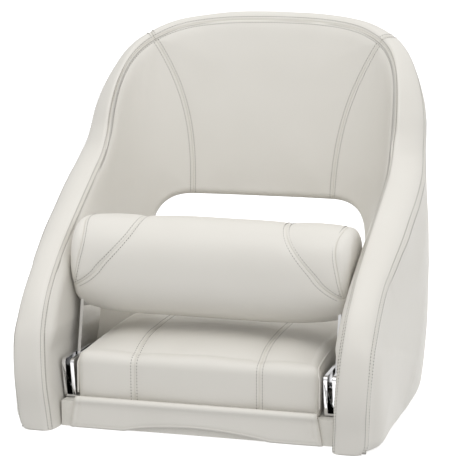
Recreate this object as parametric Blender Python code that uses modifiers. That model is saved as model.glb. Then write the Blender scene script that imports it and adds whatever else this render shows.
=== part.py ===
"""Flip-up helm seat: a padded bucket wrap on a ribbed base, with a bolster that swings forward
on two bracketed arms.

Metres, +Z up. The seat faces -Y and +X is its left-hand side seen from the front, on the right
of the picture. Lengths along the seat are counted from a datum at the front edge of the base,
and the datum is set forward of the world's origin so that the origin lies at the centre of the
pedestal face, on the underside.

The wrap is cut flat and then bent, like its real cover. Sheet coordinates are the run along the
plan curve from the centre of the back, the height, and the depth through the wall from its
inner face outwards.
"""
import math

import bmesh
import bpy
import numpy as np
from mathutils import Matrix, Vector

# Clearances and cutting
GAP = 0.0003
SEWN_GAP = 0.0006
OVERRUN = 0.004
MERGE = 0.00001

# Wrap, seen in plan and from the side
INNER_HALF_FLOOR = 0.218
INNER_HALF_TOP = 0.245
FLARE_HEIGHT = 0.587
BACK_INSIDE_FLOOR = 0.3705
BACK_LEAN = math.radians(9.8)
CORNER_DEPTH = 0.235
CORNER_POWER = 3.8
ARM_WALL = 0.064
BACK_WALL = 0.052
INNER_PAD = 0.020
SHELL_WALL = 0.024
FRONT_SEAM = 0.030
SEAM_HEIGHT = 0.612
THIN_WALL_SHARE = 0.3
THICK_WALL_SHARE = 0.95
ARM_WIDEST_SHARE = 0.2

# Rim band and the trim of the wrap
BAND_RISE = 0.008
BAND_CORNER = 0.016
BAND_INSET = 0.0012
PAD_EDGE = 0.0035
UNDER_EDGE = 0.018

# Lumbar opening
OPENING_TOP = 0.317
OPENING_FOOT = 0.154
OPENING_HALF_TOP = 0.196
OPENING_HALF_FOOT = 0.224
OPENING_CORNER = 0.042
BINDING_RISE = 0.006
BINDING_CORNER = 0.012

# Panel seams, as runs on the sheet
BACK_SEAM_FOOT = 0.129
BACK_SEAM_SWEEP = 2.6
LOW_SEAM = 0.150
OUTER_SEAM = 0.300

# Base frame and mounting plate
BASE_HEIGHT = 0.040
BASE_FRONT = 0.0055
BASE_DECK = 0.008
BASE_SKIRT = 0.010
RIB_WALL = 0.006
POCKET_COLUMNS = 4
POCKET_ROWS = 3
POCKET_REACH_SHARE = 0.5
BOSS_HALF = 0.100
PEDESTAL_DISTANCE = 0.215
PLATE_HALF = 0.090
PLATE_THICKNESS = 0.006
PLATE_CORNER = 0.012
PEDESTAL_BOLT_HALF = 0.060
PEDESTAL_BOLT_RADIUS = 0.0045
PEDESTAL_BOLT_ROOM = 0.0072
PLATE_SCREW_HALF = 0.077

# Seat cushion and its board
CUSHION_SIDE_ROOM = 0.0016
CUSHION_FRONT = 0.014
CUSHION_TALL = 0.068
CUSHION_CROWN = 0.022
CUSHION_REAR_GAP = 0.010
CUSHION_SIDE_DRAW = 0.004
CUSHION_FOOT_DRAW = 0.004
CUSHION_EDGE = 0.018
CUSHION_PUFF = 0.003
CUSHION_SEAM = 0.100
CUSHION_GROOVE = 0.0035
CUSHION_GROOVE_HALF = 0.005
BOARD_THICKNESS = 0.010
BOARD_INSET = 0.006
INNER_COLUMN_SHARES = (0.0, 0.4, 0.8)
OUTER_COLUMN_SHARES = (0.25, 0.5, 0.72, 0.88, 0.965, 1.0)
CUSHION_ROW_SHARES = (0.0, 0.05, 0.14, 0.28, 0.45, 0.62, 0.78, 0.9, 0.965, 1.0)
CUSHION_WALL_SHARES = (0.66, 0.3, 0.0)
EDGE_STEPS = 3

# Front apron
APRON_TOP_DRAW = 0.002
APRON_FOOT_ROOM = 0.016
APRON_THICKNESS = 0.0065
APRON_ARCH = 0.012
ARCH_SHARES = [(0.60, 0.0), (0.36, 0.62), (0.0, 1.0), (-0.36, 0.62), (-0.56, 0.0)]

# Hinge brackets, pivots and stops
CHEEK = 0.0055
ARM_PLATE = 0.005
WASHER = 0.001
BRACKET_ROOM = 0.00135
BRACKET_WEB = 0.0055
BRACKET_FRONT_TOP = 0.014
BRACKET_FRONT_FOOT = 0.025
BRACKET_REAR = 0.138
BRACKET_TALL = 0.065
BRACKET_CORNER = 0.009
BRACKET_SCREW_SHARES = (-0.3, 0.3)
PIVOT_BACK = 0.080
PIVOT_UP = 0.084
PIN_RADIUS = 0.004
PIN_HEAD_RADIUS = 0.0075
PIN_HEAD = 0.003
PIN_TAIL = 0.0008
BUSH_WALL = 0.0015
FLANGE_RADIUS = 0.010
CLIP_RADIUS = 0.0065
CLIP_THICKNESS = 0.001
CLIP_GROOVE = 0.001
CLIP_MOUTH = math.radians(26)
CLIP_THROAT = math.radians(46)
STOP_RADIUS = 0.004
SWING = math.radians(110)
SCREW_RADIUS = 0.002
SCREW_HEAD_RADIUS = 0.0035
SCREW_HEAD = 0.0022
SCREW_LENGTH = 0.016
HEAD_TOP_SHARE = 0.7
HEAD_SIDE_SHARE = 0.4

# Swing arms and bolster
EYE_RADIUS = 0.017
EYE_WRAP = math.radians(37)
BOLSTER_BACK = 0.130
BOLSTER_UP = 0.242
BOLSTER_HALF_DEPTH = 0.069
BOLSTER_HALF_TALL = 0.081
BOLSTER_POWER = 2.3
BOLSTER_END_RISE = 0.018
BOLSTER_END_SLIM = 0.003
BOLSTER_ROOM = 0.00215
PAD_WALL = 0.026
CAP_ROUND = 0.012
PAD_RING_SHARES = (0.2, 0.5, 0.75, 0.9, 1.0)
CAP_SHARES = [(0, 0), (0.45, 0.125), (0.8, 0.42), (1.0, 1.0)]
ARM_SCREW_RADIUS = 0.003
ARM_SCREW_HEAD_RADIUS = 0.0055
ARM_SCREW_HEAD = 0.0025
ARM_SCREW_LENGTH = 0.024

# Shares of the reach round the wrap and of the rim seam's height, from the top of the back to
# the foot of the arm
RIM_SHARES = [(0.0, 1.0), (0.13, 0.996), (0.235, 0.983), (0.305, 0.961), (0.368, 0.927),
              (0.421, 0.882), (0.462, 0.826), (0.487, 0.765), (0.503, 0.70), (0.536, 0.636),
              (0.60, 0.589), (0.69, 0.535), (0.80, 0.468), (0.89, 0.405), (0.960, 0.335),
              (0.995, 0.265), (1.0, 0.20), (0.990, 0.12), (0.968, 0.05), (0.952, 0.0)]
RIM_STEPS = 2
CORNER_FOLDS = 12
UPRIGHT_FOLDS = 5
TOP_CORNER_SHARE = 0.172
OUTER_SEAM_SHARE = 0.385

# Shares of an arm's span between its pivot and the bolster's centre: along the swing arm's rise
# and across it, for the front edge and then the rear edge
ARM_FRONT_SHARES = [(0.158, -0.120), (0.56, -0.152), (0.90, -0.177), (1.09, -0.165)]
ARM_REAR_SHARES = [(1.175, 0.05), (1.11, 0.20), (0.83, 0.295), (0.52, 0.355), (0.258, 0.336)]
ARM_SCREW_SHARES = [(0.91, -0.085), (0.967, 0.137), (1.092, -0.03)]

VINYL = (0.74, 0.72, 0.66, 1.0)
VINYL_SHADE = (0.66, 0.64, 0.58, 1.0)
MOULDING = (0.10, 0.10, 0.11, 1.0)
WOOD = (0.56, 0.40, 0.24, 1.0)
STEEL = (0.72, 0.72, 0.72, 1.0)
NYLON = (0.85, 0.84, 0.80, 1.0)


def smooth_line(points, steps):
    """Points of a Catmull-Rom curve through the given points."""
    ends = [points[0]] + list(points) + [points[-1]]
    line = []
    for a, b, c, d in zip(ends, ends[1:], ends[2:], ends[3:]):
        for k in range(steps):
            t = k / steps
            line.append(tuple(
                0.5 * (2 * q + (r - p) * t + (2 * p - 5 * q + 4 * r - u) * t ** 2
                       + (3 * q - p - 3 * r + u) * t ** 3)
                for p, q, r, u in zip(a, b, c, d)))
    line.append(tuple(points[-1]))
    return line


def arc(centre, radius, start, end, steps):
    """Points of an arc, both ends included."""
    angles = [start + (end - start) * k / steps for k in range(steps + 1)]
    return [(centre[0] + radius * math.cos(t), centre[1] + radius * math.sin(t)) for t in angles]


def rounded(points, radii, steps=4):
    """A closed outline with each corner rounded by a quadratic curve that starts at its radius."""
    line = []
    count = len(points)
    for k, (corner, radius) in enumerate(zip(points, radii)):
        corner = Vector(corner)
        if radius == 0:
            line.append(tuple(corner))
            continue
        before = (Vector(points[k - 1]) - corner).normalized() * radius + corner
        after = (Vector(points[(k + 1) % count]) - corner).normalized() * radius + corner
        for j in range(steps + 1):
            t = j / steps
            line.append(tuple(before * (1 - t) ** 2 + corner * 2 * t * (1 - t) + after * t ** 2))
    return line


def clean_scene():
    for item in list(bpy.data.objects):
        bpy.data.objects.remove(item, do_unlink=True)


def new_collection(name):
    group = bpy.data.collections.new(name)
    bpy.context.scene.collection.children.link(group)
    return group


def new_material(name, colour, roughness, metallic):
    material = bpy.data.materials.new(name)
    material.use_nodes = True
    shader = material.node_tree.nodes["Principled BSDF"]
    shader.inputs["Base Color"].default_value = colour
    shader.inputs["Roughness"].default_value = roughness
    shader.inputs["Metallic"].default_value = metallic
    material.diffuse_color = colour
    return material


def finish_piece(name, mesh, look, parent):
    """Names a mesh's object, gives it its own material and sets it under its parent."""
    colour, roughness, metallic = look
    piece = bpy.data.objects.new(name, mesh)
    mesh.name = name
    mesh.materials.clear()
    mesh.materials.append(new_material(name, colour, roughness, metallic))
    mesh.shade_smooth()
    mesh.set_sharp_from_angle(angle=math.radians(35))
    PARTS.objects.link(piece)
    if parent.parent:
        mesh.transform(Matrix.Translation(-parent.location))
    piece.parent = parent
    return piece


def face_out(bm):
    """Turns every face of the closed bodies outwards."""
    bmesh.ops.recalc_face_normals(bm, faces=bm.faces)
    if bm.calc_volume(signed=True) < 0:
        bmesh.ops.reverse_faces(bm, faces=bm.faces)
    return bm


def to_mesh(bm):
    mesh = bpy.data.meshes.new("piece")
    bm.to_mesh(mesh)
    bm.free()
    return mesh


def mirrored(mesh):
    """The same mesh on the other side of the seat."""
    other = mesh.copy()
    other.transform(Matrix.Scale(-1, 4, Vector((1, 0, 0))))
    other.flip_normals()
    return other


def outline_solid(outline, low, high):
    """A filled flat outline between two levels, with its flat faces whole again."""
    data = bpy.data.curves.new("outline", "CURVE")
    data.dimensions = "2D"
    data.fill_mode = "BOTH"
    data.extrude = (high - low) / 2
    spline = data.splines.new("POLY")
    spline.points.add(len(outline) - 1)
    for point, (x, y) in zip(spline.points, outline):
        point.co = (x, y, 0, 1)
    spline.use_cyclic_u = True
    drawn = bpy.data.objects.new("outline", data)
    bpy.context.scene.collection.objects.link(drawn)
    view = bpy.context.evaluated_depsgraph_get()
    mesh = bpy.data.meshes.new_from_object(drawn.evaluated_get(view))
    bm = bmesh.new()
    bm.from_mesh(mesh)
    bpy.data.objects.remove(drawn)
    bmesh.ops.translate(bm, verts=bm.verts, vec=(0, 0, (low + high) / 2))
    bmesh.ops.remove_doubles(bm, verts=bm.verts, dist=MERGE)
    bmesh.ops.dissolve_limit(bm, angle_limit=math.radians(0.2), verts=bm.verts, edges=bm.edges)
    bmesh.ops.recalc_face_normals(bm, faces=bm.faces)
    return bm


def swept_solid(path, section, cyclic):
    """A section carried along a flat path. The section's first axis points to the left of an
    open path's travel, or into a closed one, and its second is the level."""
    side = 1 if cyclic else -1
    profile = bpy.data.curves.new("section", "CURVE")
    profile.dimensions = "2D"
    spline = profile.splines.new("POLY")
    spline.points.add(len(section) - 1)
    for point, (left, level) in zip(spline.points, section):
        point.co = (side * left, level, 0, 1)
    spline.use_cyclic_u = True
    shape = bpy.data.objects.new("section", profile)
    data = bpy.data.curves.new("path", "CURVE")
    data.dimensions = "2D"
    data.fill_mode = "NONE"
    data.bevel_mode = "OBJECT"
    data.bevel_object = shape
    data.use_fill_caps = not cyclic
    line = data.splines.new("POLY")
    line.points.add(len(path) - 1)
    for point, (x, y) in zip(line.points, path):
        point.co = (x, y, 0, 1)
    line.use_cyclic_u = cyclic
    swept = bpy.data.objects.new("path", data)
    for item in (shape, swept):
        bpy.context.scene.collection.objects.link(item)
    view = bpy.context.evaluated_depsgraph_get()
    mesh = bpy.data.meshes.new_from_object(swept.evaluated_get(view))
    bm = bmesh.new()
    bm.from_mesh(mesh)
    bpy.data.objects.remove(swept)
    bpy.data.objects.remove(shape)
    bmesh.ops.remove_doubles(bm, verts=bm.verts, dist=MERGE)
    bmesh.ops.recalc_face_normals(bm, faces=bm.faces)
    return bm


def cut_mesh(mesh, cutters, operation="DIFFERENCE"):
    """The mesh after each cutter has been taken from it, or joined to it."""
    host = bpy.data.objects.new("host", mesh)
    bpy.context.scene.collection.objects.link(host)
    for cutter_mesh in cutters:
        cutter = bpy.data.objects.new("cutter", cutter_mesh)
        cutter.hide_render = True
        cutter.display_type = "WIRE"
        CUTTERS.objects.link(cutter)
        step = host.modifiers.new("cut", "BOOLEAN")
        step.operation = operation
        step.object = cutter
    view = bpy.context.evaluated_depsgraph_get()
    result = bpy.data.meshes.new_from_object(host.evaluated_get(view))
    bpy.data.objects.remove(host)
    for cutter in list(CUTTERS.objects):
        bpy.data.objects.remove(cutter)
    return result


def turned_mesh(profile, steps, axis_turn, centre):
    """A profile in radius and height, top to bottom down its outer side, turned by a Screw
    modifier, then laid along its axis and moved to its centre."""
    mesh = bpy.data.meshes.new("profile")
    mesh.from_pydata([(radius, 0, height) for radius, height in profile],
                     [(k, k + 1) for k in range(len(profile) - 1)], [])
    host = bpy.data.objects.new("profile", mesh)
    bpy.context.scene.collection.objects.link(host)
    turn = host.modifiers.new("turn", "SCREW")
    turn.steps = steps
    turn.render_steps = steps
    turn.use_merge_vertices = True
    turn.merge_threshold = MERGE
    turn.use_smooth_shade = True
    view = bpy.context.evaluated_depsgraph_get()
    result = bpy.data.meshes.new_from_object(host.evaluated_get(view))
    bpy.data.objects.remove(host)
    bm = bmesh.new()
    bm.from_mesh(result)
    bmesh.ops.remove_doubles(bm, verts=bm.verts, dist=MERGE)
    face_out(bm)
    bm.to_mesh(result)
    bm.free()
    result.transform(Matrix.Translation(Vector(centre)) @ axis_turn)
    return result


def rod_mesh(radius, low, high, steps, axis_turn, centre):
    """A plain round bar between two heights on its own axis."""
    return turned_mesh([(0, high), (radius, high), (radius, low), (0, low)], steps, axis_turn,
                       centre)


# Turns that lay an upright piece with its top towards +X or towards -X
ALONG_X = Matrix.Rotation(math.radians(90), 4, "Y")
AGAINST_X = Matrix.Rotation(math.radians(-90), 4, "Y")
UPRIGHT = Matrix.Identity(4)


def corner_table():
    """Runs and unit places along the back corner of the plan curve, at its widest level."""
    turn = np.linspace(0, math.pi / 2, 2001)
    across = np.sin(turn) ** (2 / CORNER_POWER)
    along = np.cos(turn) ** (2 / CORNER_POWER)
    steps = np.hypot(np.diff(INNER_HALF_TOP * across), np.diff(CORNER_DEPTH * along))
    return np.concatenate([[0], np.cumsum(steps)]), across, along


CORNER_RUNS, CORNER_ACROSS, CORNER_ALONG = corner_table()
CORNER_RUN = float(CORNER_RUNS[-1])


def inner_half(height):
    """Half the clear width between the arms at a height: quick flare low down, none at the top."""
    share = min(height / FLARE_HEIGHT, 1)
    return INNER_HALF_FLOOR + (INNER_HALF_TOP - INNER_HALF_FLOOR) * (4 * share - share ** 4) / 3


def back_inside(height):
    return BACK_INSIDE_FLOOR + height * math.tan(BACK_LEAN)


def side_start(height):
    """Where the straight side of the plan curve meets the back corner."""
    return back_inside(height) - CORNER_DEPTH


def narrowest(low, high):
    """Half the clear width between the arms where it is least, from one height to another."""
    return min(inner_half(low), inner_half(high))


# Widths of the pieces that fit between the arms
BRACKET_SLOT = ARM_PLATE + 2 * WASHER + 4 * GAP
BRACKET_WIDTH = BRACKET_SLOT + 2 * CHEEK
ARM_CENTRE = (narrowest(BASE_HEIGHT, BASE_HEIGHT + BRACKET_TALL) - BRACKET_ROOM
              - BRACKET_WIDTH / 2)
BOLSTER_HALF = narrowest(PIVOT_UP, BOLSTER_UP + BOLSTER_HALF_TALL) - BOLSTER_ROOM
CUSHION_HALF = ARM_CENTRE - BRACKET_WIDTH / 2 - GAP - PIN_HEAD - CUSHION_SIDE_ROOM
APRON_HALF_TOP = CUSHION_HALF - APRON_TOP_DRAW
APRON_HALF_FOOT = INNER_HALF_FLOOR - APRON_FOOT_ROOM

ARM_REACH = CORNER_RUN + side_start(SEAM_HEIGHT * ARM_WIDEST_SHARE) + FRONT_SEAM
RIM_LINE = smooth_line([(ARM_REACH * s, SEAM_HEIGHT * t) for s, t in RIM_SHARES], RIM_STEPS)


def wall_share(run):
    """Thickness of the wall as a share of the arm's, thinner at the back than at the arms."""
    thin_to = CORNER_RUN * THIN_WALL_SHARE
    thick_from = CORNER_RUN * THICK_WALL_SHARE
    t = min(max((run - thin_to) / (thick_from - thin_to), 0), 1)
    least = BACK_WALL / ARM_WALL
    return least + (1 - least) * t * t * (3 - 2 * t)


def wrap_point(run, height, depth):
    """From the flat sheet to the bent wall."""
    side = -1 if run < 0 else 1
    run = abs(run)
    half = inner_half(height)
    start = side_start(height)
    offset = depth * wall_share(run)
    if run >= CORNER_RUN:
        return Vector((side * (half + offset), start + CORNER_RUN - run, height))
    across = float(np.interp(run, CORNER_RUNS, CORNER_ACROSS))
    along = float(np.interp(run, CORNER_RUNS, CORNER_ALONG))
    out = Vector((across ** (CORNER_POWER - 1) / half,
                  along ** (CORNER_POWER - 1) / CORNER_DEPTH)).normalized()
    return Vector((side * (half * across + offset * out.x),
                   start + CORNER_DEPTH * along + offset * out.y, height))


def corner_folds():
    """Runs at which the back corner has turned by equal steps."""
    turned = np.arctan2(CORNER_ACROSS ** (CORNER_POWER - 1) / INNER_HALF_TOP,
                        CORNER_ALONG ** (CORNER_POWER - 1) / CORNER_DEPTH)
    steps = np.linspace(0, math.pi / 2, CORNER_FOLDS + 1)
    return [float(run) for run in np.interp(steps, turned, CORNER_RUNS)]


RUN_FOLDS = corner_folds()
HEIGHT_FOLDS = [SEAM_HEIGHT * k / UPRIGHT_FOLDS for k in range(UPRIGHT_FOLDS + 2)]


def fold_place(value, folds):
    """The folds on each side of a value, and the value's share of the way between them."""
    last = max(k for k in range(len(folds) - 1) if folds[k] <= value or k == 0)
    low, high = folds[last], folds[last + 1]
    return low, high, (value - low) / (high - low)


def folded_point(run, height, depth):
    """The wall's point on the flats between the folds, so that layers and trim lie parallel."""
    side = -1 if run < 0 else 1
    run = abs(run)
    near, far, along = (run, run, 0) if run >= CORNER_RUN else fold_place(run, RUN_FOLDS)
    low, high, up = fold_place(height, HEIGHT_FOLDS)
    foot = wrap_point(near, low, depth).lerp(wrap_point(far, low, depth), along)
    head = wrap_point(near, high, depth).lerp(wrap_point(far, high, depth), along)
    point = foot.lerp(head, up)
    return Vector((side * point.x, point.y, point.z))


def bend(bm):
    """Slices the flat solid along the folds, then bends it into the wall."""
    cuts = [((run, 0, 0), (1, 0, 0)) for run in RUN_FOLDS]
    cuts += [((-run, 0, 0), (1, 0, 0)) for run in RUN_FOLDS[1:]]
    cuts += [((0, height, 0), (0, 1, 0)) for height in HEIGHT_FOLDS[1:]]
    for point, normal in cuts:
        everything = bm.verts[:] + bm.edges[:] + bm.faces[:]
        bmesh.ops.bisect_plane(bm, geom=everything, dist=MERGE, plane_co=point, plane_no=normal)
    bmesh.ops.triangulate(bm, faces=bm.faces)
    for vert in bm.verts:
        vert.co = folded_point(vert.co.x, vert.co.y, vert.co.z)
    return face_out(bm)


def round_rim_edges(bm, level, width, segments=2, only=None):
    """Rounds the edges of a flat solid's face at a level."""
    edges = [edge for edge in bm.edges
             if all(abs(vert.co.z - level) < MERGE for vert in edge.verts)
             and abs(edge.calc_face_angle(0)) > math.radians(30)
             and (only is None or only(edge))]
    bmesh.ops.bevel(bm, geom=edges, offset=width, segments=segments, profile=0.5,
                    affect="EDGES", clamp_overlap=True)
    return bm


def at_foot(edge):
    """Whether an edge of a flat solid lies along the foot of the sheet."""
    return all(vert.co.y < MERGE for vert in edge.verts)


def opening_line():
    """Half of the lumbar opening's outline, from the middle of its top to the middle of its
    foot."""
    corners = [(0, OPENING_TOP), (OPENING_HALF_TOP, OPENING_TOP),
               (OPENING_HALF_FOOT, OPENING_FOOT), (0, OPENING_FOOT)]
    return rounded(corners, [0, OPENING_CORNER, OPENING_CORNER, 0], 5)


def back_seam(steps):
    """The seam between the back panel and a side panel, from the opening up to the rim."""
    top = RIM_LINE[int(TOP_CORNER_SHARE * (len(RIM_LINE) - 1))]
    line = []
    for k in range(steps + 1):
        t = k / steps
        line.append((BACK_SEAM_FOOT + (top[0] - BACK_SEAM_FOOT) * t ** BACK_SEAM_SWEEP,
                     OPENING_TOP + (top[1] - OPENING_TOP) * t))
    return line


def shifted(line, shift):
    return [(run + shift, height) for run, height in line]


def both_halves(half):
    """A closed outline from the half that starts and ends on the centre line."""
    other = [(-run, height) for run, height in reversed(half) if run > MERGE]
    return half + other


def make_wrap(datum):
    """Shell, inner pads, outer covers, rim bands and the opening's binding."""
    top_corner = int(TOP_CORNER_SHARE * (len(RIM_LINE) - 1))
    outer_corner = int(OUTER_SEAM_SHARE * (len(RIM_LINE) - 1))
    hole = opening_line()
    seam = back_seam(6)
    shell_from = INNER_PAD + GAP
    shell_to = INNER_PAD + SHELL_WALL
    outer_from = shell_to + GAP

    # Half outline of the whole sheet, with the opening as a notch on the centre line
    sheet = hole + [(0, 0)] + list(reversed(RIM_LINE))
    shell = half_sheet(sheet, shell_from, shell_to)
    finish_piece("moulded_shell", shell, (MOULDING, 0.6, 0.0), datum)

    vinyl = (VINYL, 0.45, 0.0)
    back = [(0, OPENING_TOP)] + shifted(seam, -GAP) + list(reversed(RIM_LINE[:top_corner]))
    back_solid = outline_solid(both_halves(back), 0, INNER_PAD)
    round_rim_edges(back_solid, 0, PAD_EDGE)
    finish_piece("inner_back_pad", to_mesh(bend(back_solid)), vinyl, datum)

    low = [(0, 0), (LOW_SEAM - GAP, 0), (LOW_SEAM - GAP, OPENING_FOOT), (0, OPENING_FOOT)]
    low_solid = outline_solid(both_halves(low), 0, INNER_PAD)
    round_rim_edges(low_solid, 0, PAD_EDGE)
    finish_piece("inner_lower_pad", to_mesh(bend(low_solid)), vinyl, datum)

    hole_side = [point for point in hole
                 if point[0] > BACK_SEAM_FOOT + GAP and not (point[1] < OPENING_FOOT + MERGE
                                                             and point[0] < LOW_SEAM + GAP)]
    side = ([(LOW_SEAM, 0), (LOW_SEAM, OPENING_FOOT)] + list(reversed(hole_side))
            + shifted(seam[:-1], GAP) + RIM_LINE[top_corner:])
    side_solid = outline_solid(side, 0, INNER_PAD)
    round_rim_edges(side_solid, 0, PAD_EDGE)
    side_mesh = to_mesh(bend(side_solid))
    finish_piece("inner_side_pad_left", mirrored(side_mesh), vinyl, datum)
    finish_piece("inner_side_pad_right", side_mesh, vinyl, datum)

    outer_line = [(OUTER_SEAM, 0), RIM_LINE[outer_corner]]
    outer_back = hole + [(0, 0)] + shifted(outer_line, -GAP) + list(
        reversed(RIM_LINE[:outer_corner]))
    back_cover = half_sheet(outer_back, outer_from, ARM_WALL, round_under=True)
    finish_piece("outer_back_cover", back_cover, vinyl, datum)

    outer_side = outer_line + RIM_LINE[outer_corner + 1:]
    cover_solid = outline_solid(outer_side, outer_from, ARM_WALL)
    round_rim_edges(cover_solid, ARM_WALL, UNDER_EDGE, 3, at_foot)
    cover = to_mesh(bend(cover_solid))
    finish_piece("outer_side_cover_left", mirrored(cover), vinyl, datum)
    finish_piece("outer_side_cover_right", cover, vinyl, datum)

    section = band_section(BAND_RISE, BAND_CORNER, 3)
    upper = [(-run, height) for run, height in reversed(RIM_LINE[1:top_corner + 1])]
    upper += RIM_LINE[:top_corner + 1]
    finish_piece("rim_band_top", band_mesh(upper, section, False), vinyl, datum)
    start = between(RIM_LINE[top_corner], RIM_LINE[top_corner + 1], GAP)
    foot = between(RIM_LINE[-1], RIM_LINE[-2], -BAND_RISE)
    arm_band = band_mesh([start] + RIM_LINE[top_corner + 1:] + [foot], section, False)
    finish_piece("rim_band_left", mirrored(arm_band), vinyl, datum)
    finish_piece("rim_band_right", arm_band, vinyl, datum)

    ring = both_halves(hole)
    lining = band_section(BINDING_RISE, BINDING_CORNER, 2)
    finish_piece("opening_binding", band_mesh(ring, lining, True), vinyl, datum)


def between(start, end, distance):
    """A point a distance on from the start towards the end."""
    start = Vector(start)
    step = Vector(end) - start
    return tuple(start + step.normalized() * distance)


def half_sheet(outline, low, high, round_under=False):
    """A symmetric layer of the wall from its half outline: the half is cut flat, bent, opened
    at the centre line and joined to its mirror image."""
    bm = outline_solid(outline, low, high)
    if round_under:
        round_rim_edges(bm, high, UNDER_EDGE, 3, at_foot)
    bend(bm)
    centre = [face for face in bm.faces if all(abs(vert.co.x) < MERGE for vert in face.verts)]
    bmesh.ops.delete(bm, geom=centre, context="FACES")
    other = bm.copy()
    bmesh.ops.scale(other, vec=(-1, 1, 1), verts=other.verts)
    bmesh.ops.reverse_faces(other, faces=other.faces)
    mesh = to_mesh(other)
    bm.from_mesh(mesh)
    bmesh.ops.remove_doubles(bm, verts=bm.verts, dist=MERGE)
    return to_mesh(face_out(bm))


def band_section(rise, corner, steps):
    """Section of a band: flat on the wall's edge, with a crowned face and rounded corners.
    Its first axis points away from the wall and its second runs through the wall."""
    low = BAND_INSET
    high = ARM_WALL - BAND_INSET
    turns = [math.pi / 2 * (k + 0.5) / steps for k in range(steps)]
    near = [(SEWN_GAP + (rise - SEWN_GAP) * math.sin(t), low + corner * (1 - math.cos(t)))
            for t in turns]
    far = [(up, low + high - along) for up, along in reversed(near)]
    middle = [(rise, (low + high) / 2)]
    flat = [(SEWN_GAP, high), (SEWN_GAP, INNER_PAD + SHELL_WALL), (SEWN_GAP, INNER_PAD)]
    return [(SEWN_GAP, low)] + near + middle + far + flat


def band_mesh(path, section, cyclic):
    """A band swept along a line of the flat sheet, cut off level at the floor, then bent with
    the sheet."""
    bm = swept_solid(path, section, cyclic)
    everything = bm.verts[:] + bm.edges[:] + bm.faces[:]
    cut = bmesh.ops.bisect_plane(bm, geom=everything, dist=MERGE, plane_co=(0, 0, 0),
                                 plane_no=(0, 1, 0), clear_inner=True)
    rim = [item for item in cut["geom_cut"] if isinstance(item, bmesh.types.BMEdge)]
    if rim:
        bmesh.ops.contextual_create(bm, geom=rim)
    return to_mesh(bend(bm))


def plan_line(clearance, front):
    """The seat's plan outline at floor level, drawn in from the wall by a clearance, from the
    front on one side round the back to the front on the other, with a point at each fold."""
    right = [wrap_point(run, 0, -clearance / wall_share(run)) for run in reversed(RUN_FOLDS)]
    right = [(right[0].x, front)] + [(point.x, point.y) for point in right]
    return right + [(-x, y) for x, y in reversed(right[:-1])]


def box_mesh(low, high):
    """A box between two corners."""
    bm = bmesh.new()
    bmesh.ops.create_cube(bm, size=1)
    size = Vector(high) - Vector(low)
    bmesh.ops.scale(bm, vec=size, verts=bm.verts)
    bmesh.ops.translate(bm, vec=(Vector(high) + Vector(low)) / 2, verts=bm.verts)
    return to_mesh(bm)


def stepped_mesh(radius, wide, wide_from, low, high, axis_turn, centre):
    """A cutter for a hole that widens above a height on its own axis."""
    profile = [(0, high), (wide, high), (wide, wide_from), (radius, wide_from), (radius, low),
               (0, low)]
    return turned_mesh(profile, 12, axis_turn, centre)


def four_places(half, centre):
    return [(sx * half, centre + sy * half) for sx in (-1, 1) for sy in (-1, 1)]


def bracket_screw_places():
    """Places in plan of the screws through the two brackets' webs."""
    length = BRACKET_REAR - BRACKET_FRONT_FOOT
    middle = (BRACKET_REAR + BRACKET_FRONT_FOOT) / 2
    return [(side * ARM_CENTRE, middle + share * length) for side in (-1, 1)
            for share in BRACKET_SCREW_SHARES]


def screw_profile(radius, head_radius, head, length):
    """A plain screw, its head up and its head's underside at height zero."""
    return [(0, head), (head_radius * HEAD_TOP_SHARE, head), (head_radius, head * HEAD_SIDE_SHARE),
            (head_radius, 0), (radius, 0), (radius, -length), (0, -length)]


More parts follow.
